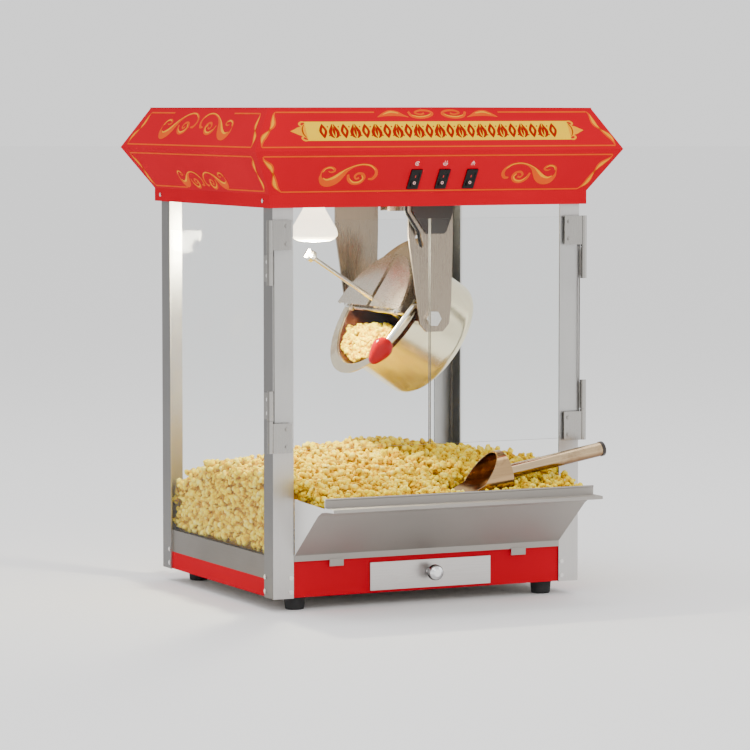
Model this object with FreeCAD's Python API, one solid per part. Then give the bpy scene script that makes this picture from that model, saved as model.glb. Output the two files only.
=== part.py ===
import FreeCAD, Part
import math
import os

from FreeCAD import Vector as V

# Countertop popcorn popper: a glazed cabinet on a drawer base, with a six-sided
# canopy, a tipping kettle, two swinging doors, a hook-on serving tray and a scoop.
# Everything is drawn in millimetres in the body frame: X to the right, Y from the
# front face of the posts towards the back, Z up from the bottom of the posts.
# save() then moves each piece so that the origin is on the table, under the middle.

# ---- driving dimensions ----------------------------------------------------
BODY_W = 431.0            # across the posts
BODY_D = 361.0            # front of the front posts to back of the rear posts
FOOT_H = 17.0
FOOT_X = 175.0             # feet stand this far from the middle
FOOT_INSET = 26.0          # and this far in from front and back
POST_TOP = 501.0
POST_LEG = 28.0
POST_T = 2.0

LIP_Z = (487.0, 504.0)    # upright lip of the canopy
LIP_OUT = 6.8             # how far each canopy edge stands outside the posts
RIDGE_Z, RIDGE_OUT = 557.6, 41.4
ROOF_Z, ROOF_OUT = 610.0, 10.0
CANOPY_T = 1.5

BASE_FRONT_TOP = 46.0     # red front panel
BASE_SIDE_TOP = 23.0      # red side and back panels, with the rails above them
RAIL_TOP = 52.0
FLOOR_Z = 47.5
SHEET = 1.5
GLASS_T = 3.0

DOOR_BOTTOM, DOOR_TOP = 186.0, 471.0
DOOR_Y = (-4.0, -1.0)
HINGE_X, HINGE_Y = 220.5, -3.0
KNUCKLE_R, PIN_R, RUN_FIT = 4.0, 2.0, 0.05

TRAY_X = 187.0            # half width of the serving tray
TRAY_T = 1.2

PIVOT = V(33.0, 168.0, 341.0)   # tipping axis of the kettle, which runs along Y
TILT = 57.0                     # the kettle is shown tipped this far to the left
POT_R = 77.5
CASE_R = 82.5
RIM_R = 103.0
RIM_W = 22.0              # rim height above the tipping axis, with the kettle upright
POT_FLOOR_W = -50.0
CASE_FLOOR_W = -74.0
STRAP_V = (109.0, 112.0)  # distance of each hanger plate from the kettle's middle
TRUNNION_R = 6.0
SHAFT_R = 3.0
SHAFT_TOP_W = 151.0

LEAD_TOP = V(-7.5, 50.8, 504.0) # where the heater's lead leaves the ceiling

DRAWER_X = (-76.0, 82.0)
DRAWER_Z = (8.0, 33.0)
DRAWER_BACK = 235.0

SWITCH_PITCH = 39.0
SWITCH_MID_X = 9.5
SWITCH_UP = 21.0          # middle of the switches, up the canopy's lower slope
ROCKER_REST = 8.0         # a rocker rests this many degrees to one side

SCOOP_Y = -42.0
SCOOP_TILT = 10.0
SCOOP_BACK = V(84.0, SCOOP_Y, 149.0)   # middle of the back of the scoop's bowl
SCOOP_R = 30.0
SCOOP_LEN = 98.0
HANDLE_R = 9.0
HANDLE_LEN = 142.0

FRONT_REACH = 117.0       # the tray's nose stands this far in front of the posts
SHIFT_Y = -((BODY_D + RIDGE_OUT) - FRONT_REACH) / 2.0

os.makedirs("parts", exist_ok=True)


# ---- helpers ---------------------------------------------------------------
def save(name, shape):
    moved = shape.copy()
    moved.translate(V(0.0, SHIFT_Y, FOOT_H))
    moved.exportStep("parts/%s.step" % name)


def box(x0, x1, y0, y1, z0, z1):
    return Part.makeBox(x1 - x0, y1 - y0, z1 - z0, V(x0, y0, z0))


def rod(start, end, radius):
    along = end - start
    return Part.makeCylinder(radius, along.Length, start, along)


def ring(start, end, outer, inner):
    return rod(start, end, outer).cut(rod(start, end, inner))


def plate(outline, plane, low, high):
    """Extrude an outline drawn in the plane 'xy', 'xz' or 'yz' from low to high."""
    if plane == "xy":
        points = [V(a, b, low) for a, b in outline]
        along = V(0, 0, high - low)
    elif plane == "xz":
        points = [V(a, low, b) for a, b in outline]
        along = V(0, high - low, 0)
    else:
        points = [V(low, a, b) for a, b in outline]
        along = V(high - low, 0, 0)
    return Part.Face(Part.makePolygon(points + [points[0]])).extrude(along)


def filleted(points, radii, closed=False):
    """A wire of straight runs with an arc of the given radius at each corner."""
    count = len(points)
    edges = []
    cuts = []
    for i, point in enumerate(points):
        end_point = not closed and i in (0, count - 1)
        if end_point or radii[i] == 0:
            cuts.append((point, point, None))
            continue
        back = (points[i - 1] - point).normalize()
        ahead = (points[(i + 1) % count] - point).normalize()
        half = back.getAngle(ahead) / 2.0
        middle = (back + ahead).normalize()
        reach = radii[i] / math.tan(half)
        nearest = point + middle * (radii[i] / math.sin(half) - radii[i])
        cuts.append((point + back * reach, point + ahead * reach, nearest))
    for i in range(count):
        enter, leave, nearest = cuts[i]
        if nearest is not None:
            edges.append(Part.Arc(enter, nearest, leave).toShape())
        if i < count - 1 or closed:
            following = cuts[(i + 1) % count][0]
            if (following - leave).Length > 1e-6:
                edges.append(Part.LineSegment(leave, following).toShape())
    return Part.Wire(edges)


def turned(points, radii=None):
    """Revolve a closed (radius, height) outline about the local Z axis."""
    flat = [V(r, 0, h) for r, h in points]
    wire = filleted(flat, radii or [0] * len(flat), closed=True)
    return Part.Face(wire).revolve(V(0, 0, 0), V(0, 0, 1), 360)


def thick_path(points, thickness):
    """Outline of a bent sheet: the path, and the same path moved to its left."""
    moved = []
    for i, (a, b) in enumerate(points):
        before = points[max(i - 1, 0)]
        after = points[min(i + 1, len(points) - 1)]
        normals = []
        for p, q in ((before, (a, b)), ((a, b), after)):
            length = math.hypot(q[0] - p[0], q[1] - p[1])
            if length > 0:
                normals.append((-(q[1] - p[1]) / length, (q[0] - p[0]) / length))
        na = sum(n[0] for n in normals) / len(normals)
        nb = sum(n[1] for n in normals) / len(normals)
        size = na * na + nb * nb
        moved.append((a + thickness * na / size, b + thickness * nb / size))
    return points + moved[::-1]


def mirrored(shape):
    return shape.mirror(V(0, 0, 0), V(1, 0, 0))


def both_sides(shape):
    return [mirrored(shape), shape]


def screw(head_at, inward, grip, head_r=3.0, shank_r=1.5):
    """Domed screw: its head stands on head_at and its shank runs inward."""
    out = V(inward) * -1.0
    flat = rod(head_at, head_at + out * 1.0, head_r)
    dome = rod(head_at + out * 1.0, head_at + out * 1.5, head_r * 0.7)
    return flat.fuse([dome, rod(head_at, head_at + inward * grip, shank_r)]).removeSplitter()


# ---- frame -----------------------------------------------------------------
HALF_W = BODY_W / 2.0
SCREW_IN = POST_LEG - 4.0     # frame screws sit near the free edge of each leg
BASE_SCREW_Z = (8.0, 26.0)
LEAF_SCREW_Y = 13.0


def post_hinge_heights():
    """Lowest and highest Z of the post's half of the upper and lower hinges."""
    return ((395.0, 428.0), (DOOR_BOTTOM + 38.0, DOOR_BOTTOM + 71.0))


def frame_screws():
    """Screws of the right half of the frame; the left half mirrors them."""
    screws = []
    for z in BASE_SCREW_Z:
        x = HALF_W - SCREW_IN
        screws.append(screw(V(x, 0, z), V(0, 1, 0), 3.5))
        screws.append(screw(V(x, BODY_D, z), V(0, -1, 0), 3.5))
        screws.append(screw(V(HALF_W, SCREW_IN, z), V(-1, 0, 0), 3.5))
        screws.append(screw(V(HALF_W, BODY_D - SCREW_IN, z), V(-1, 0, 0), 3.5))
    for y in (14.0, BODY_D - 14.0):
        screws.append(screw(V(HALF_W + LIP_OUT, y, 495.5), V(-1, 0, 0), CANOPY_T + 1.0, 2.6))
    for low, high in post_hinge_heights():
        for z in (low + 8.0, high - 8.0):
            screws.append(screw(V(HALF_W + 1.2, LEAF_SCREW_Y, z), V(-1, 0, 0), 3.2, 2.6))
    return screws


def post():
    """Front right corner angle, full height."""
    front = box(HALF_W - POST_LEG, HALF_W, 0, POST_T, 0, POST_TOP)
    side = box(HALF_W - POST_T, HALF_W, 0, POST_LEG, 0, POST_TOP)
    return front.fuse(side).removeSplitter()


def front_to_back(shape):
    return shape.mirror(V(0, BODY_D / 2.0, 0), V(0, 1, 0))


def make_frame():
    right_screws = frame_screws()
    screws = right_screws + [mirrored(s) for s in right_screws]
    save("frame_screws", Part.makeCompound(screws))
    front_right = post()
    rear_right = front_to_back(front_right)
    posts = {
        "front_right_post": front_right,
        "front_left_post": mirrored(front_right),
        "rear_right_post": rear_right,
        "rear_left_post": mirrored(rear_right),
    }
    for name, shape in posts.items():
        save(name, shape.cut(screws))
    foot = turned([(0, -FOOT_H), (12.0, -FOOT_H), (13.5, -2.5), (13.5, 0), (0, 0)], [0, 2, 1.5, 0, 0])
    feet = []
    for x in (-FOOT_X, FOOT_X):
        for y in (FOOT_INSET, BODY_D - FOOT_INSET):
            one = foot.copy()
            one.translate(V(x, y, 0))
            feet.append(one)
    save("rubber_feet", Part.makeCompound(feet))
    return screws


# ---- base ------------------------------------------------------------------
def make_base(screws):
    inner_x = HALF_W - POST_T
    inner_y = (POST_T, BODY_D - POST_T)
    front = box(-inner_x, inner_x, inner_y[0], inner_y[0] + SHEET, 0.5, BASE_FRONT_TOP)
    mouth = box(DRAWER_X[0] - 4, DRAWER_X[1] + 4, 0, 10, DRAWER_Z[0] - 2.5, DRAWER_Z[1] + 4)
    save("base_front_panel", front.cut([mouth] + screws))

    side_y = (inner_y[0] + SHEET, inner_y[1] - SHEET)
    side = box(inner_x - SHEET, inner_x, side_y[0], side_y[1], 0.5, BASE_SIDE_TOP)
    back = box(-inner_x, inner_x, side_y[1], inner_y[1], 0.5, BASE_SIDE_TOP)
    panels = [shape.cut(screws) for shape in both_sides(side) + [back]]
    save("base_side_panels", Part.makeCompound(panels))

    leg = SHEET
    side_rail = plate([(inner_x, BASE_SIDE_TOP), (inner_x, RAIL_TOP), (inner_x - leg, RAIL_TOP),
                       (inner_x - leg, FLOOR_Z), (inner_x - 16, FLOOR_Z),
                       (inner_x - 16, FLOOR_Z - leg), (inner_x - leg, FLOOR_Z - leg),
                       (inner_x - leg, BASE_SIDE_TOP)], "xz", side_y[0], side_y[1])
    y = inner_y[1]
    back_rail = plate([(y, BASE_SIDE_TOP), (y, RAIL_TOP), (y - leg, RAIL_TOP), (y - leg, FLOOR_Z),
                       (y - 16, FLOOR_Z), (y - 16, FLOOR_Z - leg), (y - leg, FLOOR_Z - leg),
                       (y - leg, BASE_SIDE_TOP)], "yz", -inner_x + 16.5, inner_x - 16.5)
    rails = [rail.cut(screws) for rail in both_sides(side_rail) + [back_rail]]
    save("window_rails", Part.makeCompound(rails))

    bottom = box(-inner_x + SHEET, inner_x - SHEET, side_y[0], side_y[1], 0.5, 0.5 + SHEET)
    ears = [box(x - 16, x + 16, y - 16, y + 16, 0.0, 0.5)
            for x in (-HALF_W + 32.0, HALF_W - 32.0) for y in (30.0, BODY_D - 30.0)]
    save("base_bottom_plate", bottom.fuse(ears).removeSplitter())

    floor = box(-inner_x + SHEET + 0.2, inner_x - SHEET - 0.2, 4.0, side_y[1] - 0.2,
                FLOOR_Z, FLOOR_Z + 1.2)
    slots = []
    for column in range(10):
        for row in range(3):
            x = -64.0 + column * 14.4
            y = 40.0 + row * 60.0
            slots.append(box(x, x + 4.0, y, y + 45.0, FLOOR_Z - 1, FLOOR_Z + 3))
    save("floor_pan", floor.cut(slots))


# ---- drawer ----------------------------------------------------------------
def make_drawer():
    x0, x1 = DRAWER_X
    z0, z1 = DRAWER_Z
    wall = 1.2
    front_y = 1.6
    tray = box(x0, x1, front_y, DRAWER_BACK, z0, z1)
    hollow = box(x0 + wall, x1 - wall, front_y + wall, DRAWER_BACK - wall, z0 + wall, z1 + 1)
    save("drawer_tray", tray.cut(hollow))
    face = box(-82.0, 88.0, -0.6, front_y, 3.7, 39.2)
    save("drawer_front", face)
    knob = turned([(0, 0), (5.5, 0), (4.2, 4.0), (4.6, 7.0), (10.5, 12.5), (9.5, 20.0), (5.0, 22.0), (0, 22.0)],
                  [0, 0, 1.5, 1.5, 4.0, 3.0, 1.0, 0])
    knob.rotate(V(0, 0, 0), V(1, 0, 0), 90)
    knob.translate(V(1.8, -0.6, 24.0))
    save("drawer_knob", knob)

    web = 1.3
    runner = plate([(x1 + 2.0, 2.0), (x1 + 2.0, 28.0), (x1 + 2.0 - web, 28.0), (x1 + 2.0 - web, z0 - 0.3),
                    (x1 - 10.0, z0 - 0.3), (x1 - 10.0, z0 - 1.8), (x1 + 2.0 - web, z0 - 1.8),
                    (x1 + 2.0 - web, 2.0)], "xz", 5.0, DRAWER_BACK + 5.0)
    other = runner.mirror(V((x0 + x1) / 2.0, 0, 0), V(1, 0, 0))
    save("drawer_runners", Part.makeCompound([runner, other]))


# ---- glazing ---------------------------------------------------------------
def make_windows():
    x = HALF_W - POST_T
    side = box(x - GLASS_T, x, POST_T + 0.5, BODY_D - POST_T - GLASS_T - 0.5, RAIL_TOP, POST_TOP - 1.0)
    save("right_window", side)
    save("left_window", mirrored(side))
    y = BODY_D - POST_T
    save("rear_window", box(-x + 0.5, x - 0.5, y - GLASS_T, y, RAIL_TOP, POST_TOP - 1.0))


# ---- doors -----------------------------------------------------------------
def door_leaf_heights():
    return ((435.0, 472.0), (DOOR_BOTTOM - 3.0, DOOR_BOTTOM + 34.0))


def right_door():
    """Panel, hinge leaves with screws: everything that swings on the right."""
    panel = box(1.0, 215.0, DOOR_Y[0], DOOR_Y[1], DOOR_BOTTOM, DOOR_TOP)
    leaves = []
    screws = []
    leaf_y = DOOR_Y[0] - 1.2
    for low, high in door_leaf_heights():
        leaf = box(192.0, HINGE_X - 2.5, leaf_y, DOOR_Y[0], low, high)
        knuckle_low, knuckle_high = (low - 3.0, high) if low > 300 else (low, high + 3.0)
        axis = [V(HINGE_X, HINGE_Y, z) for z in (knuckle_low, knuckle_high)]
        leaf = leaf.fuse(rod(axis[0], axis[1], KNUCKLE_R))
        leaf = leaf.cut(rod(axis[0], axis[1], PIN_R + RUN_FIT))
        centres = [(198.5, (low + high) / 2.0 + s) for s in (-11.0, 11.0)]
        pair = [screw(V(cx, leaf_y, cz), V(0, 1, 0), DOOR_Y[1] - leaf_y, 2.8) for cx, cz in centres]
        screws += pair
        leaves.append(leaf.cut(pair).removeSplitter())
    return panel.cut(screws), leaves + screws


def right_post_hinges():
    leaves = []
    pins = []
    door_side = door_leaf_heights()
    for (low, high), (door_low, door_high) in zip(post_hinge_heights(), door_side):
        upper = door_low > low
        k_low = low - 3.5 if upper else door_high + 3.5
        k_high = door_low - 3.5 if upper else high + 3.5
        leaf = box(HALF_W, HALF_W + 1.2, HINGE_Y, 24.0, low, high)
        axis = [V(HINGE_X, HINGE_Y, z) for z in (k_low, k_high)]
        leaf = leaf.fuse(rod(axis[0], axis[1], KNUCKLE_R)).cut(rod(axis[0], axis[1], PIN_R))
        holes = [screw(V(HALF_W + 1.2, LEAF_SCREW_Y, z), V(-1, 0, 0), 3.2, 2.6)
                 for z in (low + 8.0, high - 8.0)]
        leaves.append(leaf.cut(holes).removeSplitter())
        pin_low = k_low if upper else door_low
        pin_high = door_high if upper else k_high
        pins.append(rod(V(HINGE_X, HINGE_Y, pin_low), V(HINGE_X, HINGE_Y, pin_high), PIN_R))
    return leaves, pins


def make_doors():
    panel, leaves = right_door()
    save("right_door_panel", panel)
    save("right_door_hinges", Part.makeCompound(leaves))
    save("left_door_panel", mirrored(panel))
    save("left_door_hinges", Part.makeCompound([mirrored(leaf) for leaf in leaves]))
    post_leaves, pins = right_post_hinges()
    save("post_hinges", Part.makeCompound(post_leaves + [mirrored(leaf) for leaf in post_leaves]))
    save("hinge_pins", Part.makeCompound(pins + [mirrored(pin) for pin in pins]))


# ---- canopy ----------------------------------------------------------------
def outline_at(outset, z):
    x, y0, y1 = HALF_W + outset, -outset, BODY_D + outset
    corners = [V(-x, y0, z), V(x, y0, z), V(x, y1, z), V(-x, y1, z)]
    return Part.makePolygon(corners + [corners[0]])


def stack(levels):
    """Solid of straight-sided tiers through rectangles at (z, outset)."""
    tiers = [Part.makeLoft([outline_at(a[1], a[0]), outline_at(b[1], b[0])], True, True)
             for a, b in zip(levels, levels[1:])]
    return tiers[0].fuse(tiers[1:]).removeSplitter()


SLOPE_RUN = RIDGE_OUT - LIP_OUT
SLOPE_RISE = RIDGE_Z - LIP_Z[1]
SLOPE_TURN = 180.0 - math.degrees(math.atan2(SLOPE_RISE, SLOPE_RUN))


def on_front_slope(shape, x, up):
    """Place a shape drawn with its Y up the canopy's lower slope and its Z outward."""
    length = math.hypot(SLOPE_RUN, SLOPE_RISE)
    y = -LIP_OUT - SLOPE_RUN * up / length
    z = LIP_Z[1] + SLOPE_RISE * up / length
    placed = shape.copy()
    placed.rotate(V(0, 0, 0), V(1, 0, 0), SLOPE_TURN)
    placed.translate(V(x, y, z))
    return placed


def switch_places():
    return [SWITCH_MID_X + SWITCH_PITCH * i for i in (-1, 0, 1)]


def make_canopy(screws):
    seam_z = ROOF_Z - CANOPY_T
    seam_out = ROOF_OUT + 1.0
    outside = [(LIP_Z[0], LIP_OUT), (LIP_Z[1], LIP_OUT), (RIDGE_Z, RIDGE_OUT), (seam_z, seam_out)]
    inside = [(z, out - CANOPY_T) for z, out in outside]
    inside[0] = (LIP_Z[0] + CANOPY_T, inside[0][1])
    shell = stack(outside).cut(stack(inside))
    shell = shell.cut(box(-HALF_W, HALF_W, 0, BODY_D, 400, LIP_Z[0] + 2 * CANOPY_T))

    far = 80.0
    x, y0, y1 = HALF_W, 0.0, BODY_D
    quarters = {
        "canopy_front": [(-x - far, y0 - far), (x + far, y0 - far), (x - far, y0 + far), (-x + far, y0 + far)],
        "canopy_rear": [(-x - far, y1 + far), (x + far, y1 + far), (x - far, y1 - far), (-x + far, y1 - far)],
        "canopy_left": [(-x - far, y0 - far), (-x + far, y0 + far), (-x + far, y1 - far), (-x - far, y1 + far)],
        "canopy_right": [(x + far, y0 - far), (x - far, y0 + far), (x - far, y1 - far), (x + far, y1 + far)],
    }
    sides = {name: shell.common(plate(corners, "xy", 400, 700)) for name, corners in quarters.items()}

    window = Part.makeBox(12.6, 26.0, 12.0, V(-6.3, -13.0, -6.0))
    cutouts = [on_front_slope(window, place, SWITCH_UP) for place in switch_places()]
    sides["canopy_front"] = sides["canopy_front"].cut(cutouts)
    gland, passage = cord_gland()
    sides["canopy_rear"] = sides["canopy_rear"].cut(passage)
    sides["canopy_left"] = sides["canopy_left"].cut(screws)
    sides["canopy_right"] = sides["canopy_right"].cut(screws)
    for name, shape in sides.items():
        save(name, shape)
    save("cord_gland", gland)

    roof = box(-HALF_W - seam_out, HALF_W + seam_out, -seam_out, BODY_D + seam_out, seam_z, ROOF_Z)
    save("canopy_top", roof)
    edge = LIP_OUT - CANOPY_T - 0.8
    ceiling = box(-HALF_W - edge, HALF_W + edge, -edge, BODY_D + edge, POST_TOP, POST_TOP + CANOPY_T)
    motor_hole = rod(V(PIVOT.x, PIVOT.y, 490), V(PIVOT.x, PIVOT.y, 510), 11.0)
    lead_hole = rod(V(LEAD_TOP.x, LEAD_TOP.y, 490), V(LEAD_TOP.x, LEAD_TOP.y, 510), 4.0)
    save("ceiling_plate", ceiling.cut([motor_hole, lead_hole]))


def cord_gland():
    """Strain-relief gland for the mains lead, square to the back's lower slope."""
    local = turned([(4.0, -9.0), (8.0, -9.0), (8.0, 0.0), (12.0, 0.0), (12.0, 3.0), (9.0, 3.0),
                    (7.0, 13.0), (4.0, 13.0)])
    passage = Part.makeCylinder(8.0, 20.0, V(0, 0, -12.0))
    placed = []
    for shape in (local, passage):
        moved = on_front_slope(shape, -120.0, 30.0)
        placed.append(front_to_back(moved))
    return placed


# ---- switches --------------------------------------------------------------
def make_switches():
    bezel = Part.makeBox(15.0, 28.5, 2.0, V(-7.5, -14.25, 0))
    barrel = Part.makeBox(12.4, 25.8, 20.0, V(-6.2, -12.9, -20.0))
    pocket = Part.makeBox(9.6, 20.8, 10.0, V(-4.8, -10.4, -7.5))
    housing = bezel.fuse(barrel).cut(pocket).removeSplitter()
    save("switch_housings",
         Part.makeCompound([on_front_slope(housing, x, SWITCH_UP) for x in switch_places()]))
    outline = [(-9.4, -4.5), (9.4, -4.5), (9.5, 2.8), (0.0, 1.6), (-9.5, 2.8)]
    rocker = plate(outline, "yz", -4.4, 4.4)
    rocker.rotate(V(0, 0, -1.5), V(1, 0, 0), -ROCKER_REST)
    for name, x in zip(("motor_rocker", "kettle_rocker", "lamp_rocker"), switch_places()):
        save(name, on_front_slope(rocker, x, SWITCH_UP))


# ---- kettle ----------------------------------------------------------------
def tipped(shape):
    """Place a shape drawn about the tipping axis with the kettle upright."""
    placed = shape.copy()
    placed.rotate(V(0, 0, 0), V(0, 1, 0), -TILT)
    placed.translate(PIVOT)
    return placed


LID_R = 93.0
NECK_R = 89.5             # where the kettle's cone meets its flat rim
BAR_REACH = 94.0          # half length of the bar across the rim
BAR_HALF = 11.0
LID_HINGE = V(-12.0, 0, 31.0)
LID_FOLD = 180.0
LUG_V = 62.0


def make_kettle():
    wall = 1.2
    outer = POT_R + wall
    pot = turned([(0, POT_FLOOR_W), (outer, POT_FLOOR_W), (outer, 8.0), (NECK_R + 0.5, RIM_W - wall),
                  (RIM_R, RIM_W - wall), (RIM_R, RIM_W), (NECK_R, RIM_W), (POT_R, 8.6),
                  (POT_R, POT_FLOOR_W + wall), (0, POT_FLOOR_W + wall)],
                 [0, 9.0, 6.0, 2.0, 0, 0, 2.0, 6.0, 7.8, 0])
    lever_notch = box(-4.0, 16.0, -RIM_R - 2.0, -94.5, RIM_W - 4.0, RIM_W + 2.0)
    save("kettle_pot", tipped(pot.cut(lever_notch)))

    case = turned([(0, CASE_FLOOR_W), (CASE_R, CASE_FLOOR_W), (CASE_R, 6.0), (outer, 6.0), (outer, 4.8),
                   (CASE_R - wall, 4.8), (CASE_R - wall, CASE_FLOOR_W + wall), (0, CASE_FLOOR_W + wall)],
                  [0, 16.0, 0, 0, 0, 0, 14.8, 0])
    stubs = [rod(V(0, s * 79.2, 0), V(0, s * 93.0, 0), 4.0) for s in (-1, 1)]
    save("kettle_casing", tipped(case.cut(stubs)))
    save("kettle_heater", tipped(Part.makeCylinder(70.0, 10.0, V(0, 0, POT_FLOOR_W - 10.0))))

    fittings = []
    skin = Part.makeCylinder(CASE_R, 60.0, V(0, 0, -30.0))
    for s in (-1, 1):
        boss = rod(V(0, s * 76.0, 0), V(0, s * 93.0, 0), 11.0).cut(skin)
        pin = rod(V(0, s * 90.0, 0), V(0, s * 118.0, 0), TRUNNION_R)
        stub = rod(V(0, s * 79.2, 0), V(0, s * 90.0, 0), 4.0)
        fittings.append(boss.fuse([pin, stub]).removeSplitter())
        hexagon = [(10.5 * math.cos(math.radians(60 * i)), 10.5 * math.sin(math.radians(60 * i)))
                   for i in range(6)]
        low, high = sorted((s * (STRAP_V[1] + 0.4), s * (STRAP_V[1] + 5.4)))
        nut = plate(hexagon, "xz", low, high).cut(pin)
        fittings.append(nut)
    save("kettle_trunnions", tipped(Part.makeCompound(fittings)))

    bar = box(-BAR_HALF, BAR_HALF, -BAR_REACH, BAR_REACH, RIM_W, RIM_W + 5.0)
    under = box(-BAR_HALF + 1.5, BAR_HALF - 1.5, -RIM_R, RIM_R, RIM_W - 1, RIM_W + 3.5)
    bush = Part.makeCylinder(8.0, 13.0, V(0, 0, RIM_W - 1.0))
    lugs = [box(LID_HINGE.x - 3, -BAR_HALF + 4, s * (LUG_V + 4) - 4, s * (LUG_V + 4) + 4,
                RIM_W + 4.0, LID_HINGE.z + 3.5) for s in (-1, 1)]
    lid_pin = rod(V(LID_HINGE.x, -LUG_V - 10, LID_HINGE.z), V(LID_HINGE.x, LUG_V + 10, LID_HINGE.z), 1.55)
    bore = Part.makeCylinder(SHAFT_R + RUN_FIT, 40.0, V(0, 0, RIM_W - 10))
    save("kettle_crossbar", tipped(bar.cut(under).fuse([bush] + lugs).cut([lid_pin, bore]).removeSplitter()))

    rear_lid = Part.makeCylinder(LID_R, 1.2, V(0, 0, RIM_W))
    rear_lid = rear_lid.common(box(BAR_HALF + 0.2, 100, -100, 100, 0, 60))
    save("kettle_rear_lid", tipped(rear_lid))
    save("kettle_front_lid", tipped(folded_lid()))
    save("agitator", tipped(agitator()))
    make_tilt_handle()


def folded_lid():
    """Dump-side half lid, slotted to pass the shaft: drawn closed, then folded back."""
    plate_z = RIM_W + 1.0
    half = Part.makeCylinder(LID_R, 1.2, V(0, 0, plate_z))
    skirt = Part.makeCylinder(LID_R, 4.0, V(0, 0, plate_z)).cut(Part.makeCylinder(LID_R - 1.2, 4.0, V(0, 0, plate_z)))
    keep = box(-100, LID_HINGE.x - 1.0, -100, 100, 0, 60)
    slot = box(-100, 0, -5, 5, 0, 60)
    lid = half.fuse(skirt).common(keep).cut(slot)
    ends = [LID_HINGE + V(0, s * (LUG_V + 7.5), 0) for s in (-1, 1)]
    knuckles = [rod(ends[0], ends[1], 1.5)]
    for s in (-1, 1):
        near, far = s * (LUG_V - 9.0), s * (LUG_V - 0.4)
        barrel = rod(V(LID_HINGE.x, near, LID_HINGE.z), V(LID_HINGE.x, far, LID_HINGE.z), 3.0)
        low, high = sorted((near, far))
        tongue = box(LID_HINGE.x - 3.0, LID_HINGE.x - 1.0, low, high, plate_z, LID_HINGE.z)
        knuckles += [barrel, tongue]
    lid = lid.fuse(knuckles).removeSplitter()
    lid.rotate(LID_HINGE, V(0, 1, 0), LID_FOLD)
    return lid


def agitator():
    """Stirring shaft with its blade near the pot's floor and its drive tab on top."""
    blade_w = POT_FLOOR_W + 3.0
    shaft = Part.makeCylinder(SHAFT_R, SHAFT_TOP_W - 4.0 - blade_w, V(0, 0, blade_w))
    blade = box(-66, 66, -4, 4, blade_w, blade_w + 3.0)
    fingers = [Part.makeCylinder(2.5, 24.0, V(s * 56.0, 0, blade_w)) for s in (-1, 1)]
    hub = turned([(0, 137), (5, 137), (8, 139.5), (8, 144.5), (6, 147), (0, 147)])
    tab = box(-6, 6, -2, 2, 146, SHAFT_TOP_W)
    return shaft.fuse([blade, hub, tab] + fingers).removeSplitter()


def make_tilt_handle():
    """Bent lever on the front trunnion, with its pear-shaped grip, as it rests."""
    lever_y = PIVOT.y - 99.5
    hub = rod(V(PIVOT.x, lever_y - 2.5, PIVOT.z), V(PIVOT.x, lever_y + 2.5, PIVOT.z), 13.0)
    elbow = V(15.0, lever_y, 361.0)
    grip_at = V(-24.0, lever_y, 314.5)
    start = V(26.5, lever_y, 348.5)
    path = filleted([start, elbow, grip_at], [0, 8.0, 0])
    section = Part.Wire(Part.makeCircle(3.0, start, elbow - start))
    arm = path.makePipeShell([section], True, True)
    bore = rod(V(PIVOT.x, lever_y - 9, PIVOT.z), V(PIVOT.x, lever_y + 9, PIVOT.z), TRUNNION_R)
    save("tilt_lever", hub.fuse(arm).cut(bore).removeSplitter())

    profile = Part.BSplineCurve()
    profile.interpolate([V(4.2, 0, 0), V(9.8, 0, 3.5), V(13.3, 0, 11.5), V(11.6, 0, 22.0),
                         V(8.0, 0, 31.0), V(4.5, 0, 36.5), V(0, 0, 38.0)])
    axis = Part.LineSegment(V(0, 0, 38.0), V(0, 0, 0)).toShape()
    neck = Part.LineSegment(V(0, 0, 0), V(4.2, 0, 0)).toShape()
    knob = Part.Face(Part.Wire([profile.toShape(), axis, neck])).revolve(V(0, 0, 0), V(0, 0, 1), 360)
    along = grip_at - elbow
    knob.Placement = FreeCAD.Placement(grip_at, FreeCAD.Rotation(V(0, 0, 1), along))
    save("tilt_knob", knob)


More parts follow.
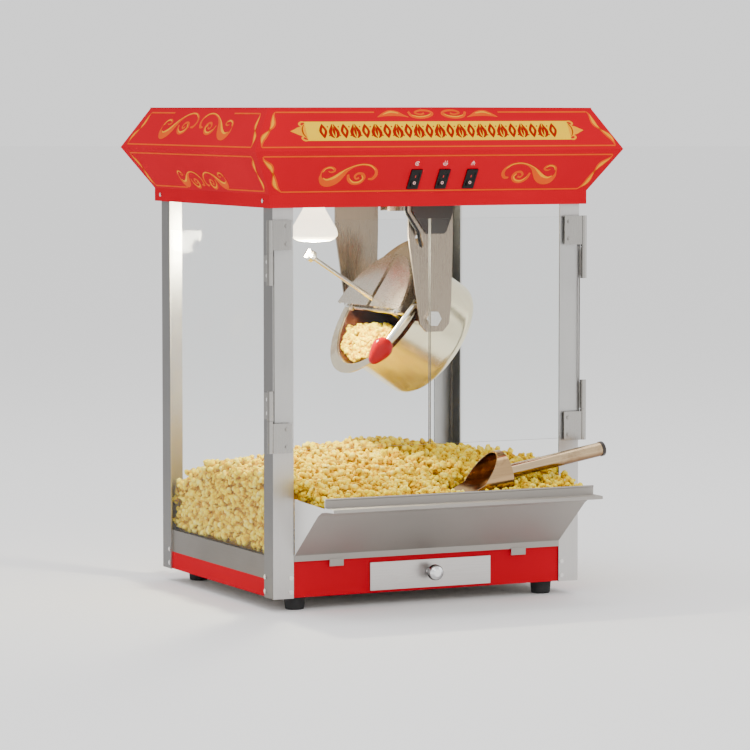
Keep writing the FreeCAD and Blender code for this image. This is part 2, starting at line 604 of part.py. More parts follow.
# ---- hanger, drive and lamp --------------------------------------------------
def make_hanger():
    top = POST_TOP
    outline = [(-1.0, top), (-1.0, 446.0), (12.0, 361.0), (15.0, 334.0), (24.0, 324.0), (48.0, 324.0),
               (57.0, 334.0), (60.0, 361.0), (62.0, 446.0), (62.0, top)]
    y0, y1 = PIVOT.y - STRAP_V[1], PIVOT.y - STRAP_V[0]
    strap = plate(outline, "xz", y0, y1)
    foot = box(-1.0, 62.0, y0, y0 + 26.0, top - 3.0, top)
    eye = rod(V(PIVOT.x, y0 - 5, PIVOT.z), V(PIVOT.x, y1 + 5, PIVOT.z), TRUNNION_R + RUN_FIT)
    lead_slot = rod(V(9.0, y0 - 6.0, 454.5), V(21.0, y1 + 6.0, 425.5), 5.0)
    front = strap.fuse(foot).cut([eye, lead_slot]).removeSplitter()
    rear = strap.fuse(foot).cut(eye).removeSplitter().mirror(V(0, PIVOT.y, 0), V(0, 1, 0))
    save("kettle_hangers", Part.makeCompound([front, rear]))

    gusset = plate([(3.0, top), (3.0, 478.0), (21.5, 452.0), (24.0, 449.5), (48.0, 449.5),
                    (51.5, 452.0), (61.0, 476.0), (61.0, top)], "xz", y0 - 2.5, y0)
    other = gusset.mirror(V(0, PIVOT.y, 0), V(0, 1, 0))
    save("hanger_gussets", Part.makeCompound([gusset, other]))

    # Heater lead: down from the ceiling, through the front hanger and to the hollow trunnion.
    drop = LEAD_TOP.x
    route = [LEAD_TOP, V(drop, 50.8, 478.0), V(10.0, 50.6, 452.0), V(15.0, 56.6, 440.0),
             V(20.0, 61.9, 426.0), V(30.0, 61.9, 398.0), V(33.0, 61.9, 360.0)]
    lead = filleted(route, [0, 12.0, 10.0, 9.0, 14.0, 30.0, 0])
    section = Part.Wire(Part.makeCircle(2.2, route[0], route[1] - route[0]))
    cable = lead.makePipeShell([section], True, True)
    grommet = ring(V(drop, LEAD_TOP.y, top - 9.0), V(drop, LEAD_TOP.y, top), 5.5, 2.2)
    save("kettle_lead", Part.makeCompound([cable, grommet]))

    guard = ring(V(PIVOT.x, PIVOT.y, 476.0), V(PIVOT.x, PIVOT.y, top), 18.5, 16.5)
    guard = guard.cut(box(PIVOT.x - 30, PIVOT.x, PIVOT.y - 11, PIVOT.y + 11, 470, 510))
    save("coupling_guard", guard)

    above = top + CANOPY_T
    gearbox = box(PIVOT.x - 34, PIVOT.x + 26, PIVOT.y - 28, PIVOT.y + 28, above, above + 28.0)
    output = rod(V(PIVOT.x, PIVOT.y, above - 2), V(PIVOT.x, PIVOT.y, above + 20.0), 4.0 + RUN_FIT)
    can = rod(V(PIVOT.x - 8, PIVOT.y, above + 28.0), V(PIVOT.x - 8, PIVOT.y, above + 72.0), 27.0)
    save("gearmotor", gearbox.cut(output).fuse(can).removeSplitter())

    hub_z = PIVOT.z + SHAFT_TOP_W + 3.5
    axle = rod(V(PIVOT.x, PIVOT.y, hub_z), V(PIVOT.x, PIVOT.y, above + 18.0), 4.0)
    hub = rod(V(PIVOT.x, PIVOT.y, hub_z), V(PIVOT.x, PIVOT.y, hub_z + 4.0), 9.0)
    dogs = [rod(V(PIVOT.x + s * 6.0, PIVOT.y, hub_z - 2.0), V(PIVOT.x + s * 6.0, PIVOT.y, hub_z + 1.0), 2.0)
            for s in (-1, 1)]
    save("motor_coupling", axle.fuse([hub] + dogs).removeSplitter())

    lamp_x, lamp_y = -95.0, 140.0
    socket = ring(V(lamp_x, lamp_y, top - 16.0), V(lamp_x, lamp_y, top), 19.0, 14.0)
    save("lamp_socket", socket)
    bulb = turned([(0, 0), (14.0, 0), (14.0, -20.0), (29.0, -46.0), (31.0, -54.0), (24.0, -61.0), (0, -63.0)],
                  [0, 0, 8.0, 10.0, 4.0, 14.0, 0])
    bulb.translate(V(lamp_x, lamp_y, top))
    save("lamp_bulb", bulb)


# ---- serving tray, popcorn and scoop ----------------------------------------
TRAY_FACE = [(-1.3, 46.0), (-1.3, 53.5), (-71.0, 110.0), (-82.0, 115.5), (-96.0, 117.5), (-115.0, 118.5)]
TAB_X = ((-139.0, -120.0), (117.5, 138.0))


def make_tray():
    face = plate(thick_path(TRAY_FACE, -TRAY_T), "yz", -TRAY_X, TRAY_X)
    hem = box(-TRAY_X, TRAY_X, -FRONT_REACH, -91.0, 118.4, 122.4)
    upstand = box(-TRAY_X, TRAY_X, -91.0 - TRAY_T, -91.0, 120.0, 132.5)
    bead = rod(V(-TRAY_X, -91.6, 132.5), V(TRAY_X, -91.6, 132.5), 1.4)
    wing_outline = [(-1.5, 53.6), (-71.0, 110.0), (-82.0, 115.5), (-91.5, 117.2), (-91.5, 121.0), (-1.5, 124.5)]
    wing = plate(wing_outline, "yz", TRAY_X - TRAY_T, TRAY_X)
    pieces = [hem, upstand, bead] + both_sides(wing)
    for x0, x1 in TAB_X:
        pieces.append(box(x0, x1, -2.5, -1.3, 38.0, 47.4))
        pieces.append(box(x0, x1, -1.3, 3.4, 46.2, 47.4))
    save("serving_tray", face.fuse(pieces).removeSplitter())


def along_scoop(shape):
    """Place a shape drawn with +X from the scoop's mouth to its handle."""
    placed = shape.copy()
    placed.rotate(V(0, 0, 0), V(0, 1, 0), -SCOOP_TILT)
    placed.translate(SCOOP_BACK)
    return placed


def scoop_shell(radius, length, clear_above=False):
    """Round bowl behind a slanted mouth, its back at X 0 and its lip at -length."""
    drum = rod(V(-length, 0, 0), V(0, 0, 0), radius)
    if clear_above:
        return drum.fuse(box(-length, 0, -radius, radius, 0, 120.0))
    mouth = plate([(-length - 1, -radius * 0.72), (-length * 0.42, -4.0), (-6.0, radius + 1),
                   (-length - 1, radius + 1)], "xz", -radius - 1, radius + 1)
    return drum.cut(mouth)


def make_scoop():
    wall = 1.4
    bowl = scoop_shell(SCOOP_R, SCOOP_LEN)
    hollow = rod(V(-SCOOP_LEN - 1, 0, 0), V(-wall - 1.0, 0, 0), SCOOP_R - wall)
    save("scoop_bowl", along_scoop(bowl.cut(hollow)))
    handle = ring(V(0, 0, 0), V(HANDLE_LEN, 0, 0), HANDLE_R, HANDLE_R - 1.5)
    save("scoop_handle", along_scoop(handle))
    cap = turned([(0, 0), (HANDLE_R + 0.6, 0), (HANDLE_R + 0.6, 5.0), (0, 6.5)], [0, 0, 2.0, 0])
    cap.rotate(V(0, 0, 0), V(0, 1, 0), 90)
    cap.translate(V(HANDLE_LEN, 0, 0))
    save("scoop_cap", along_scoop(cap))


def heap_top(x, y):
    """Height of the heap: a low dome that falls away towards the back."""
    dome = 27.0 * math.exp(-((x - 5.0) / 130.0) ** 2 - ((y - 185.0) / 110.0) ** 2)
    fall = 42.0 * (max(0.0, y - 215.0) / 140.0) ** 1.5
    return 150.0 + dome - fall


def height_solid(xs, ys, top, bottom):
    """Closed solid between a faceted top surface and a flat bottom."""
    faces = []

    def triangle(a, b, c):
        faces.append(Part.Face(Part.makePolygon([a, b, c, a])))

    for x0, x1 in zip(xs, xs[1:]):
        for y0, y1 in zip(ys, ys[1:]):
            p, q, r, s = [V(x, y, top(x, y)) for x, y in ((x0, y0), (x1, y0), (x1, y1), (x0, y1))]
            triangle(p, q, r)
            triangle(p, r, s)
    for fixed in (ys[0], ys[-1]):
        rim = [V(x, fixed, top(x, fixed)) for x in xs]
        loop = [V(xs[0], fixed, bottom)] + rim + [V(xs[-1], fixed, bottom)]
        faces.append(Part.Face(Part.makePolygon(loop + [loop[0]])))
    for fixed in (xs[0], xs[-1]):
        rim = [V(fixed, y, top(fixed, y)) for y in ys]
        loop = [V(fixed, ys[0], bottom)] + rim + [V(fixed, ys[-1], bottom)]
        faces.append(Part.Face(Part.makePolygon(loop + [loop[0]])))
    base = [V(x, y, bottom) for x, y in ((xs[0], ys[0]), (xs[-1], ys[0]), (xs[-1], ys[-1]), (xs[0], ys[-1]))]
    faces.append(Part.Face(Part.makePolygon(base + [base[0]])))
    return Part.makeSolid(Part.makeShell(faces))


def make_popcorn():
    reach = HALF_W - POST_T - GLASS_T - 1.0
    steps = 8
    xs = [-reach + 2 * reach * i / steps for i in range(steps + 1)]
    ys = [6.0 + (348.0) * i / steps for i in range(steps + 1)]
    save("popcorn_heap", height_solid(xs, ys, heap_top, FLOOR_Z + 1.6))

    outline = [(-0.8, 56.5), (-70.0, 112.6), (-80.0, 118.0), (-88.5, 123.5), (-88.5, 131.0),
               (-60.0, 137.0), (-25.0, 145.0), (-0.8, 149.0)]
    load = plate(outline, "yz", -TRAY_X + 2.4, TRAY_X - 2.4)
    save("tray_popcorn", load.cut(along_scoop(scoop_shell(SCOOP_R + 2.0, SCOOP_LEN + 3.0, True)))
         .cut(along_scoop(rod(V(-5, 0, 0), V(HANDLE_LEN, 0, 0), HANDLE_R + 2.0))))


def main():
    screws = make_frame()
    make_base(screws)
    make_drawer()
    make_windows()
    make_doors()
    make_canopy(screws)
    make_switches()
    make_kettle()
    make_hanger()
    make_tray()
    make_scoop()
    make_popcorn()


main()
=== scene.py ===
import math
import random

import bmesh
import bpy
import numpy as np
from mathutils import Matrix, Vector, noise
from mathutils.bvhtree import BVHTree


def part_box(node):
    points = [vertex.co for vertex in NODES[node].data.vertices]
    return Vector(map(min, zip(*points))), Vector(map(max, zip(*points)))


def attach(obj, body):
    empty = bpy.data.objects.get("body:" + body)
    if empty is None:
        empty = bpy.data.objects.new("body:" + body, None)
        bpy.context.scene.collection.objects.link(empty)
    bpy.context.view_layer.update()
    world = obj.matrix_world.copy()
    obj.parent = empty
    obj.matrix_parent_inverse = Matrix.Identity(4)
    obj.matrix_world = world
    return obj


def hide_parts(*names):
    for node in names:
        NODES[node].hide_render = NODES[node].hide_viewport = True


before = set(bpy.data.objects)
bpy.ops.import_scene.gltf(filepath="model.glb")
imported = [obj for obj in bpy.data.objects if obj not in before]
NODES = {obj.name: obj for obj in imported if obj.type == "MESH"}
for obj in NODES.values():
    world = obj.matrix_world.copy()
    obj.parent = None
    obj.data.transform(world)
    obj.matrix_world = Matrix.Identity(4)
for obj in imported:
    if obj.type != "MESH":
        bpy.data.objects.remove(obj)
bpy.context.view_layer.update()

# The cabinet's own frame: X from its middle, Y back from the front posts, Z up from their feet.
POST_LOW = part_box("front_left_post")[0]
Y0, Z0 = POST_LOW.y, POST_LOW.z
MM = 0.001

# The canopy's foot, ridge and head: height, and how far each stands out from the cabinet.
CANOPY_LIP, CANOPY_RIDGE, CANOPY_HEAD = (504.0, 6.8), (557.6, 41.4), (608.5, 11.0)
# The tipped kettle's pivot, the direction across it and its axis, in the cabinet's frame.
KETTLE_PIVOT = (33.0, 168.0, 341.0)
KETTLE_ACROSS = (0.545, 0.0, 0.839)
KETTLE_AXIS = (-0.839, 0.0, 0.545)


def at(x, y, z):
    """A point of the cabinet's frame, in millimetres, as a point of the row frame."""
    return Vector((x * MM, Y0 + y * MM, Z0 + z * MM))


# ---- camera, light and floor -------------------------------------------------
CAMERA_PLACE, CAMERA_DIP, CAMERA_TURN = (-2034, -4090, 620), 4.34, -25.59
CAMERA_LENS, CAMERA_SENSOR = 174.0, 36.0
WORLD_STRENGTH = 1.25
STUDIO_MIDDLE = (0, 0, 0.32)
LAMP_DROP = 0.006


def add_camera():
    data = bpy.data.cameras.new("camera")
    data.sensor_width = CAMERA_SENSOR
    data.lens = CAMERA_LENS
    data.clip_end = 50.0
    camera = bpy.data.objects.new("camera", data)
    camera.location = at(*CAMERA_PLACE)
    camera.rotation_euler = (math.radians(90 - CAMERA_DIP), 0, math.radians(CAMERA_TURN))
    bpy.context.scene.collection.objects.link(camera)
    bpy.context.scene.camera = camera


def add_light(name, kind, position, energy, size, colour=(1, 1, 1)):
    """A light aimed at the middle of the machine. size is two sides, or a point light's radius."""
    data = bpy.data.lights.new(name, kind)
    data.energy = energy
    data.color = colour
    if kind == "AREA":
        data.shape = "RECTANGLE"
        data.size, data.size_y = size
    else:
        data.shadow_soft_size = size
    obj = bpy.data.objects.new(name, data)
    bpy.context.scene.collection.objects.link(obj)
    obj.location = position
    aim = Vector(STUDIO_MIDDLE) - Vector(position)
    obj.rotation_euler = aim.to_track_quat("-Z", "Y").to_euler()


def add_studio():
    world = bpy.data.worlds.new("studio")
    bpy.context.scene.world = world
    world.use_nodes = True
    sky = world.node_tree.nodes["Background"]
    sky.inputs["Color"].default_value = (1.0, 1.0, 1.0, 1)
    sky.inputs["Strength"].default_value = WORLD_STRENGTH
    add_light("key", "AREA", (-0.9, -2.8, 2.2), 30, (1.6, 1.6))
    add_light("fill", "AREA", (2.8, -1.6, 1.0), 12, (1.6, 2.2))
    add_light("top", "AREA", (0.0, 0.4, 3.0), 34, (2.4, 2.4))
    lamp_low, lamp_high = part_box("lamp_bulb")
    under_lamp = (lamp_low + lamp_high) / 2
    under_lamp.z = lamp_low.z - LAMP_DROP
    add_light("cabinet_lamp", "POINT", under_lamp, 9.0, 0.024, (1.0, 0.95, 0.72))
    bpy.ops.mesh.primitive_plane_add(size=120, location=(0, 0, 0))
    floor = bpy.context.object
    floor.name = "floor"
    paint = Paint("floor_paper")
    paint.set("Base Color", (0.95, 0.95, 0.95, 1))
    paint.set("Roughness", 1.0)
    paint.set("Specular IOR Level", 0.0)
    floor.data.materials.append(paint.mat)


# ---- materials ----------------------------------------------------------------
def rgb(code):
    """Linear colour of a hex sRGB code."""
    parts = [int(code[i:i + 2], 16) / 255.0 for i in (0, 2, 4)]
    return tuple(c / 12.92 if c <= 0.04045 else ((c + 0.055) / 1.055) ** 2.4 for c in parts)


def rgba(code):
    return (*rgb(code), 1)


def shade(colour, factor):
    return tuple(min(1.0, c * factor) for c in colour)


class Paint:
    """A node material under construction."""

    def __init__(self, name):
        self.mat = bpy.data.materials.new(name)
        self.mat.use_nodes = True
        self.tree = self.mat.node_tree
        self.tree.nodes.clear()
        self.out = self.add("ShaderNodeOutputMaterial")
        self.bsdf = self.add("ShaderNodeBsdfPrincipled")
        self.link(self.bsdf.outputs[0], self.out.inputs["Surface"])
        self.place = self.add("ShaderNodeTexCoord").outputs["Object"]
        self.normal = None

    def add(self, kind, **values):
        node = self.tree.nodes.new(kind)
        for key, value in values.items():
            setattr(node, key, value)
        return node

    def link(self, source, target):
        self.tree.links.new(source, target)

    def feed(self, socket, value):
        """Link a socket to another node's output, or set its constant."""
        if isinstance(value, bpy.types.NodeSocket):
            self.link(value, socket)
        else:
            socket.default_value = value

    def set(self, name, value):
        self.feed(self.bsdf.inputs[name], value)

    def set_dull_coat(self):
        self.set("Specular IOR Level", 0.0)
        self.set("Coat Weight", 0.05)
        self.set("Coat Roughness", 0.1)

    def base_colour(self):
        """The output that the base colour comes from so far."""
        return self.bsdf.inputs["Base Color"].links[0].from_socket

    def stretched(self, stretch):
        mapping = self.add("ShaderNodeMapping")
        mapping.inputs["Scale"].default_value = stretch
        self.link(self.place, mapping.inputs["Vector"])
        return mapping.outputs[0]

    def noise(self, scale, detail=2.0, stretch=(1, 1, 1), rough=0.5, twist=0.0):
        node = self.add("ShaderNodeTexNoise")
        self.link(self.stretched(stretch), node.inputs["Vector"])
        node.inputs["Scale"].default_value = scale
        node.inputs["Detail"].default_value = detail
        node.inputs["Roughness"].default_value = rough
        node.inputs["Distortion"].default_value = twist
        return node.outputs["Fac"]

    def facing(self, axis):
        split = self.add("ShaderNodeSeparateXYZ")
        self.link(self.add("ShaderNodeTexCoord").outputs["Normal"], split.inputs[0])
        return split.outputs[axis]

    def depth(self, origin, direction):
        """Distance from a point along a direction, in metres."""
        shift = self.add("ShaderNodeVectorMath", operation="SUBTRACT")
        self.link(self.place, shift.inputs[0])
        shift.inputs[1].default_value = origin
        dot = self.add("ShaderNodeVectorMath", operation="DOT_PRODUCT")
        self.link(shift.outputs[0], dot.inputs[0])
        dot.inputs[1].default_value = direction
        return dot.outputs["Value"]

    def attribute(self, name):
        return self.add("ShaderNodeAttribute", attribute_name=name).outputs["Fac"]

    def ramp(self, source, stops):
        node = self.add("ShaderNodeValToRGB")
        ramp = node.color_ramp
        while len(ramp.elements) < len(stops):
            ramp.elements.new(0.5)
        for element, (position, colour) in zip(ramp.elements, stops):
            element.position = position
            element.color = (*colour, 1)
        self.link(source, node.inputs["Fac"])
        return node.outputs["Color"]

    def tones(self, source, colour, dark, light, low=0.3, high=0.7):
        """A colour from its dark tone to its light one, as source goes from low to high."""
        return self.ramp(source, [(low, shade(colour, dark)), (high, shade(colour, light))])

    def span(self, source, low, high, from_low=0.0, from_high=1.0):
        node = self.add("ShaderNodeMapRange")
        self.link(source, node.inputs["Value"])
        values = {"From Min": from_low, "From Max": from_high, "To Min": low, "To Max": high}
        for key, value in values.items():
            node.inputs[key].default_value = value
        return node.outputs["Result"]

    def maths(self, operation, a, b=0.0):
        node = self.add("ShaderNodeMath", operation=operation)
        self.feed(node.inputs[0], a)
        self.feed(node.inputs[1], b)
        return node.outputs[0]

    def mix(self, factor, a, b):
        node = self.add("ShaderNodeMix", data_type="RGBA", blend_type="MIX")
        sockets = [s for s in node.inputs if s.type == "RGBA"]
        self.feed(node.inputs["Factor"], factor)
        self.feed(sockets[0], a)
        self.feed(sockets[1], b)
        return [s for s in node.outputs if s.type == "RGBA"][0]

    def mix_shader(self, factor, a, b):
        node = self.add("ShaderNodeMixShader")
        for socket, source in zip(node.inputs, (factor, a, b)):
            self.link(source, socket)
        return node.outputs[0]

    def bump(self, height, strength, distance):
        node = self.add("ShaderNodeBump")
        node.inputs["Strength"].default_value = strength
        node.inputs["Distance"].default_value = distance
        self.link(height, node.inputs["Height"])
        if self.normal is not None:
            self.link(self.normal, node.inputs["Normal"])
        self.normal = node.outputs["Normal"]
        self.link(self.normal, self.bsdf.inputs["Normal"])


# Stretches of a metal's grain: none, or brushed along the axis whose figure is small.
EVEN, UPRIGHT, ALONG_X, ALONG_Y = (1, 1, 1), (1, 1, 0.02), (0.02, 1, 1), (1, 0.02, 1)
ALONG_TRAY, ALONG_SCOOP = (0.015, 1, 1), (0.03, 1, 1)


def metal(name, code, rough, grain, scale, bump, streaks, metallic=1.0, stain=None, painted_side_shading=None):
    """Sheet metal with brushing, streaks and smudges.

    rough is its least and greatest roughness. stain is a colour, the scale of its patches and how
    strong they are. The last argument, the side colour, is mixed into the faces that look sideways
    along X: painted shade where it is darker, a painted highlight where it is lighter."""
    paint = Paint(name)
    colour = rgb(code)
    hair = paint.noise(scale, 3.0, grain, 0.6)
    cloud = paint.noise(9.0, 4.0, EVEN, 0.55, 0.4)
    tone = paint.tones(hair, colour, 1 - streaks, 1 + streaks)
    blot = paint.tones(cloud, colour, 0.9, 1.05, 0.35, 0.65)
    mixed = paint.mix(0.4, tone, blot)
    if stain:
        stain_code, stain_scale, strength = stain
        patch = paint.noise(stain_scale, 5.0, EVEN, 0.65, 0.8)
        mixed = paint.mix(paint.span(patch, 0.0, strength, 0.52, 0.72), mixed, rgba(stain_code))
    # Painted light and shade: faces that look sideways along X take the side colour, darker as painted
    # shade, lighter as a painted highlight.
    if painted_side_shading:
        painted_side_mask = paint.maths("GREATER_THAN", paint.maths("ABSOLUTE", paint.facing("X")), 0.6)
        half_way = paint.mix(0.5, mixed, rgba(painted_side_shading))
        mixed = paint.mix(painted_side_mask, mixed, paint.mix(0.5, rgba(painted_side_shading), half_way))
    paint.set("Base Color", mixed)
    paint.set("Metallic", metallic)
    low, high = rough
    half_range = (high - low) * 0.5
    wear = paint.span(cloud, low, low + half_range, 0.35, 0.65)
    hairs = paint.span(hair, 0.0, half_range, 0.3, 0.7)
    paint.set("Roughness", paint.maths("ADD", wear, hairs))
    paint.bump(hair, bump, 0.0002)
    return paint


def enamel(name, code):
    """Baked enamel with a fine orange peel and a few specks."""
    paint = Paint(name)
    colour = rgb(code)
    base = paint.tones(paint.noise(6.0, 3.0), colour, 0.93, 1.04)
    speck = paint.span(paint.noise(700.0, 2.0), 0.0, 0.35, 0.68, 0.8)
    paint.set("Base Color", paint.mix(speck, base, (*shade(colour, 0.6), 1)))
    paint.set("Roughness", paint.span(paint.noise(30.0, 4.0), 0.3, 0.42, 0.3, 0.7))
    paint.set_dull_coat()
    paint.bump(paint.noise(320.0, 2.0), 0.06, 0.0004)
    return paint


def moulded(name, code, rough, bump, grain, vary=0.15):
    """Moulded plastic, rubber or ceramic with a fine matt grain."""
    paint = Paint(name)
    cloud = paint.noise(40.0, 4.0)
    paint.set("Base Color", paint.tones(cloud, rgb(code), 1 - vary, 1 + vary))
    paint.set("Roughness", paint.span(cloud, rough * 0.85, min(1.0, rough * 1.2), 0.3, 0.7))
    paint.bump(paint.noise(grain, 2.0), bump, 0.0003)
    return paint


def clear_panel(name, across):
    """Clear sheet: its faces let light straight through, its sawn edges are grey and frosted."""
    paint = Paint(name)
    see = paint.add("ShaderNodeBsdfTransparent")
    see.inputs["Color"].default_value = (0.98, 0.985, 0.985, 1)
    gloss = paint.add("ShaderNodeBsdfGlossy")
    gloss.inputs["Color"].default_value = (1, 1, 1, 1)
    smear = paint.noise(14.0, 5.0, (1, 1, 0.4), 0.6, 0.6)
    paint.link(paint.span(smear, 0.01, 0.07, 0.4, 0.7), gloss.inputs["Roughness"])
    fresnel = paint.add("ShaderNodeFresnel")
    fresnel.inputs["IOR"].default_value = 1.4
    haze = paint.add("ShaderNodeBsdfDiffuse")
    haze.inputs["Color"].default_value = (0.85, 0.87, 0.87, 1)

    backfacing = paint.add("ShaderNodeNewGeometry").outputs["Backfacing"]
    front = paint.maths("MULTIPLY", paint.maths("SUBTRACT", 1.0, backfacing), 0.3)
    shine = paint.maths("MULTIPLY", fresnel.outputs[0], front)
    face = paint.mix_shader(shine, see.outputs[0], gloss.outputs[0])
    dust = paint.span(smear, 0.001, 0.01, 0.4, 0.75)
    dusty = paint.mix_shader(dust, face, haze.outputs[0])

    sawn = paint.maths("LESS_THAN", paint.maths("ABSOLUTE", paint.facing(across)), 0.5)
    greys = [(0.3, rgb("4E4A46")), (0.7, rgb("6A655F"))]
    paint.set("Base Color", paint.ramp(paint.noise(220.0, 3.0), greys))
    paint.set("Roughness", 0.6)
    paint.set("Specular IOR Level", 0.15)
    edged = paint.mix_shader(sawn, dusty, paint.bsdf.outputs[0])
    paint.link(edged, paint.out.inputs["Surface"])
    return paint


# From tone 0 to 1: dark brown painted shade in creases and hollows, up to the kernel's own buttery or
# pale colour.
BUTTERY = [(0.0, rgb("522A00")), (0.22, rgb("C28C00")), (0.5, rgb("F2CA00")), (1.0, rgb("FCEA1A"))]
PALE = [(0.0, rgb("784400")), (0.26, rgb("DEAE00")), (0.55, rgb("FAE222")), (1.0, rgb("FFF496"))]


def popped_corn():
    """Each kernel lies between buttery and pale, with painted shade in its creases, and bits of brown
    hull.
    """
    paint = Paint("popped_corn")
    tone, hull, tint = (paint.attribute(key) for key in ("tone", "hull", "tint"))
    blend = paint.mix(tint, paint.ramp(tone, BUTTERY), paint.ramp(tone, PALE))
    fleck = paint.span(paint.noise(420.0, 3.0), 0.0, 0.35, 0.55, 0.75)
    blend = paint.mix(fleck, blend, rgba("DC9E00"))
    paint.set("Base Color", paint.mix(hull, blend, rgba("7A3A08")))
    paint.set("Roughness", paint.span(paint.noise(300.0, 2.0), 0.45, 0.7))
    paint.set("Subsurface Weight", 0.12)
    paint.set("Subsurface Radius", (0.004, 0.003, 0.001))
    paint.set("Specular IOR Level", 0.06)
    paint.bump(paint.noise(650.0, 3.0), 0.4, 0.0009)
    return paint


def dress(paint, *nodes):
    for name in nodes:
        obj = NODES[name]
        obj.data.materials.clear()
        obj.data.materials.append(paint.mat)


def dress_cabinet():
    # The posts get painted shade on their faces that look sideways along X.
    dress(metal("post_steel", "C6C3C0", (0.28, 0.46), UPRIGHT, 1200, 0.1, 0.06, painted_side_shading="252423"),
          "front_left_post", "front_right_post", "rear_left_post", "rear_right_post")
    # The rails and base plate get painted shade on their faces that look sideways along X.
    dress(metal("rail_steel", "B4ADA4", (0.3, 0.5), ALONG_Y, 1100, 0.1, 0.07, painted_side_shading="443F3A"),
          "window_rails", "base_bottom_plate", "drawer_runners")
    dress(metal("floor_steel", "A9A49C", (0.25, 0.45), ALONG_X, 900, 0.1, 0.08,
                stain=("B0853F", 22.0, 0.5)),
          "floor_pan")
    dress(metal("ceiling_steel", "B8B4AE", (0.22, 0.4), ALONG_X, 900, 0.08, 0.06), "ceiling_plate")
    dress(enamel("red_enamel", "BC001C"), "base_front_panel", "base_side_panels", "canopy_front",
          "canopy_left", "canopy_right", "canopy_rear", "canopy_top")
    dress(clear_panel("clear_side", "X"), "left_window", "right_window")
    dress(clear_panel("clear_front", "Y"), "rear_window", "left_door_panel", "right_door_panel")
    # The hinges get painted shade on their faces that look sideways along X.
    dress(metal("hinge_steel", "AEABA6", (0.18, 0.34), UPRIGHT, 1300, 0.1, 0.06, painted_side_shading="6E6B67"),
          "left_door_hinges", "right_door_hinges", "post_hinges", "hinge_pins")
    dress(metal("screw_steel", "D8D6D2", (0.12, 0.3), EVEN, 1500, 0.05, 0.06), "frame_screws")
    dress(moulded("foot_rubber", "1B1B1C", 0.75, 0.25, 900), "rubber_feet")
    black = moulded("switch_plastic", "0B0A0B", 0.3, 0.05, 1600)
    black.set("Specular IOR Level", 0.2)
    dress(black, "switch_housings", "motor_rocker", "kettle_rocker", "lamp_rocker", "cord_gland")
    dress(moulded("lead_rubber", "1C1A1A", 0.5, 0.1, 1200), "kettle_lead")
    dress(metal("drawer_steel", "CBC7C4", (0.24, 0.42), ALONG_X, 1000, 0.12, 0.1),
          "drawer_tray", "drawer_front")
    chrome = metal("knob_chrome", "E6E6E8", (0.05, 0.14), EVEN, 800, 0.02, 0.03)
    # Painted reflection: the chrome darkens towards the knob's edges as they turn from view, standing
    # in for dark things mirrored there.
    edge = chrome.add("ShaderNodeLayerWeight")
    edge.inputs["Blend"].default_value = 0.55
    painted_dark_rim = chrome.span(edge.outputs["Facing"], 0.0, 0.92, 0.25, 0.6)
    chrome.set("Base Color", chrome.mix(painted_dark_rim, chrome.base_colour(), rgba("1A1A1C")))
    dress(chrome, "drawer_knob")
    dress(metal("hanger_steel", "A69684", (0.2, 0.36), UPRIGHT, 1100, 0.08, 0.08),
          "kettle_hangers", "coupling_guard")
    dress(metal("gusset_dark", "4B4743", (0.4, 0.6), EVEN, 500, 0.2, 0.12, 0.7), "hanger_gussets")
    dress(metal("motor_grey", "5D5E60", (0.4, 0.6), EVEN, 500, 0.2, 0.12, 0.6), "gearmotor")
    dress(moulded("socket_ceramic", "E4DFD2", 0.3, 0.04, 300, 0.04), "lamp_socket")
    knob = moulded("knob_red", "AC000A", 0.16, 0.02, 400, 0.06)
    knob.set("Specular IOR Level", 0.14)
    dress(knob, "tilt_knob")
    dress(moulded("cap_plastic", "2A211C", 0.3, 0.05, 900), "scoop_cap")


# Where the kettle's sheet ends and the burnt inside of its pot begins, in metres along its axis.
POT_RIM = (0.0195, 0.0212)


def dress_kettle():
    dress(metal("kettle_casing_steel", "FFF2CC", (0.16, 0.3), EVEN, 600, 0.03, 0.04, 0.9,
                stain=("D8B888", 7.0, 0.3)),
          "kettle_casing")
    pot = metal("kettle_pot_steel", "D2C4A8", (0.14, 0.3), EVEN, 500, 0.06, 0.08,
                stain=("8A5A2A", 12.0, 0.5))
    plain = pot.base_colour()
    inside = pot.span(pot.depth(at(*KETTLE_PIVOT), KETTLE_AXIS), 1.0, 0.0, *POT_RIM)
    browns = [(0.3, rgb("2E130A")), (0.55, rgb("5A2A14")), (0.8, rgb("7A4422"))]
    burnt = pot.ramp(pot.noise(26.0, 5.0, EVEN, 0.6, 0.5), browns)
    pot.set("Base Color", pot.mix(inside, plain, burnt))
    pot.set("Metallic", pot.span(inside, 1.0, 0.45))
    dress(pot, "kettle_pot")
    # The two lid halves are one steel in two tones, the front half darker: painted light and shade on
    # the halves.
    dress(metal("kettle_lid_steel", "CBC4BA", (0.14, 0.32), EVEN, 600, 0.05, 0.05,
                stain=("8A6238", 16.0, 0.45)),
          "kettle_rear_lid")
    dress(metal("front_lid_steel", "BCB0A0", (0.16, 0.34), EVEN, 600, 0.05, 0.05,
                stain=("7A5A3A", 16.0, 0.4)),
          "kettle_front_lid")
    dress(metal("shaft_steel", "E4E0D8", (0.14, 0.3), EVEN, 900, 0.04, 0.05),
          "agitator", "motor_coupling", "tilt_lever", "kettle_crossbar", "kettle_trunnions")
    dress(metal("heater_metal", "8C8780", (0.45, 0.7), EVEN, 700, 0.2, 0.1), "kettle_heater")


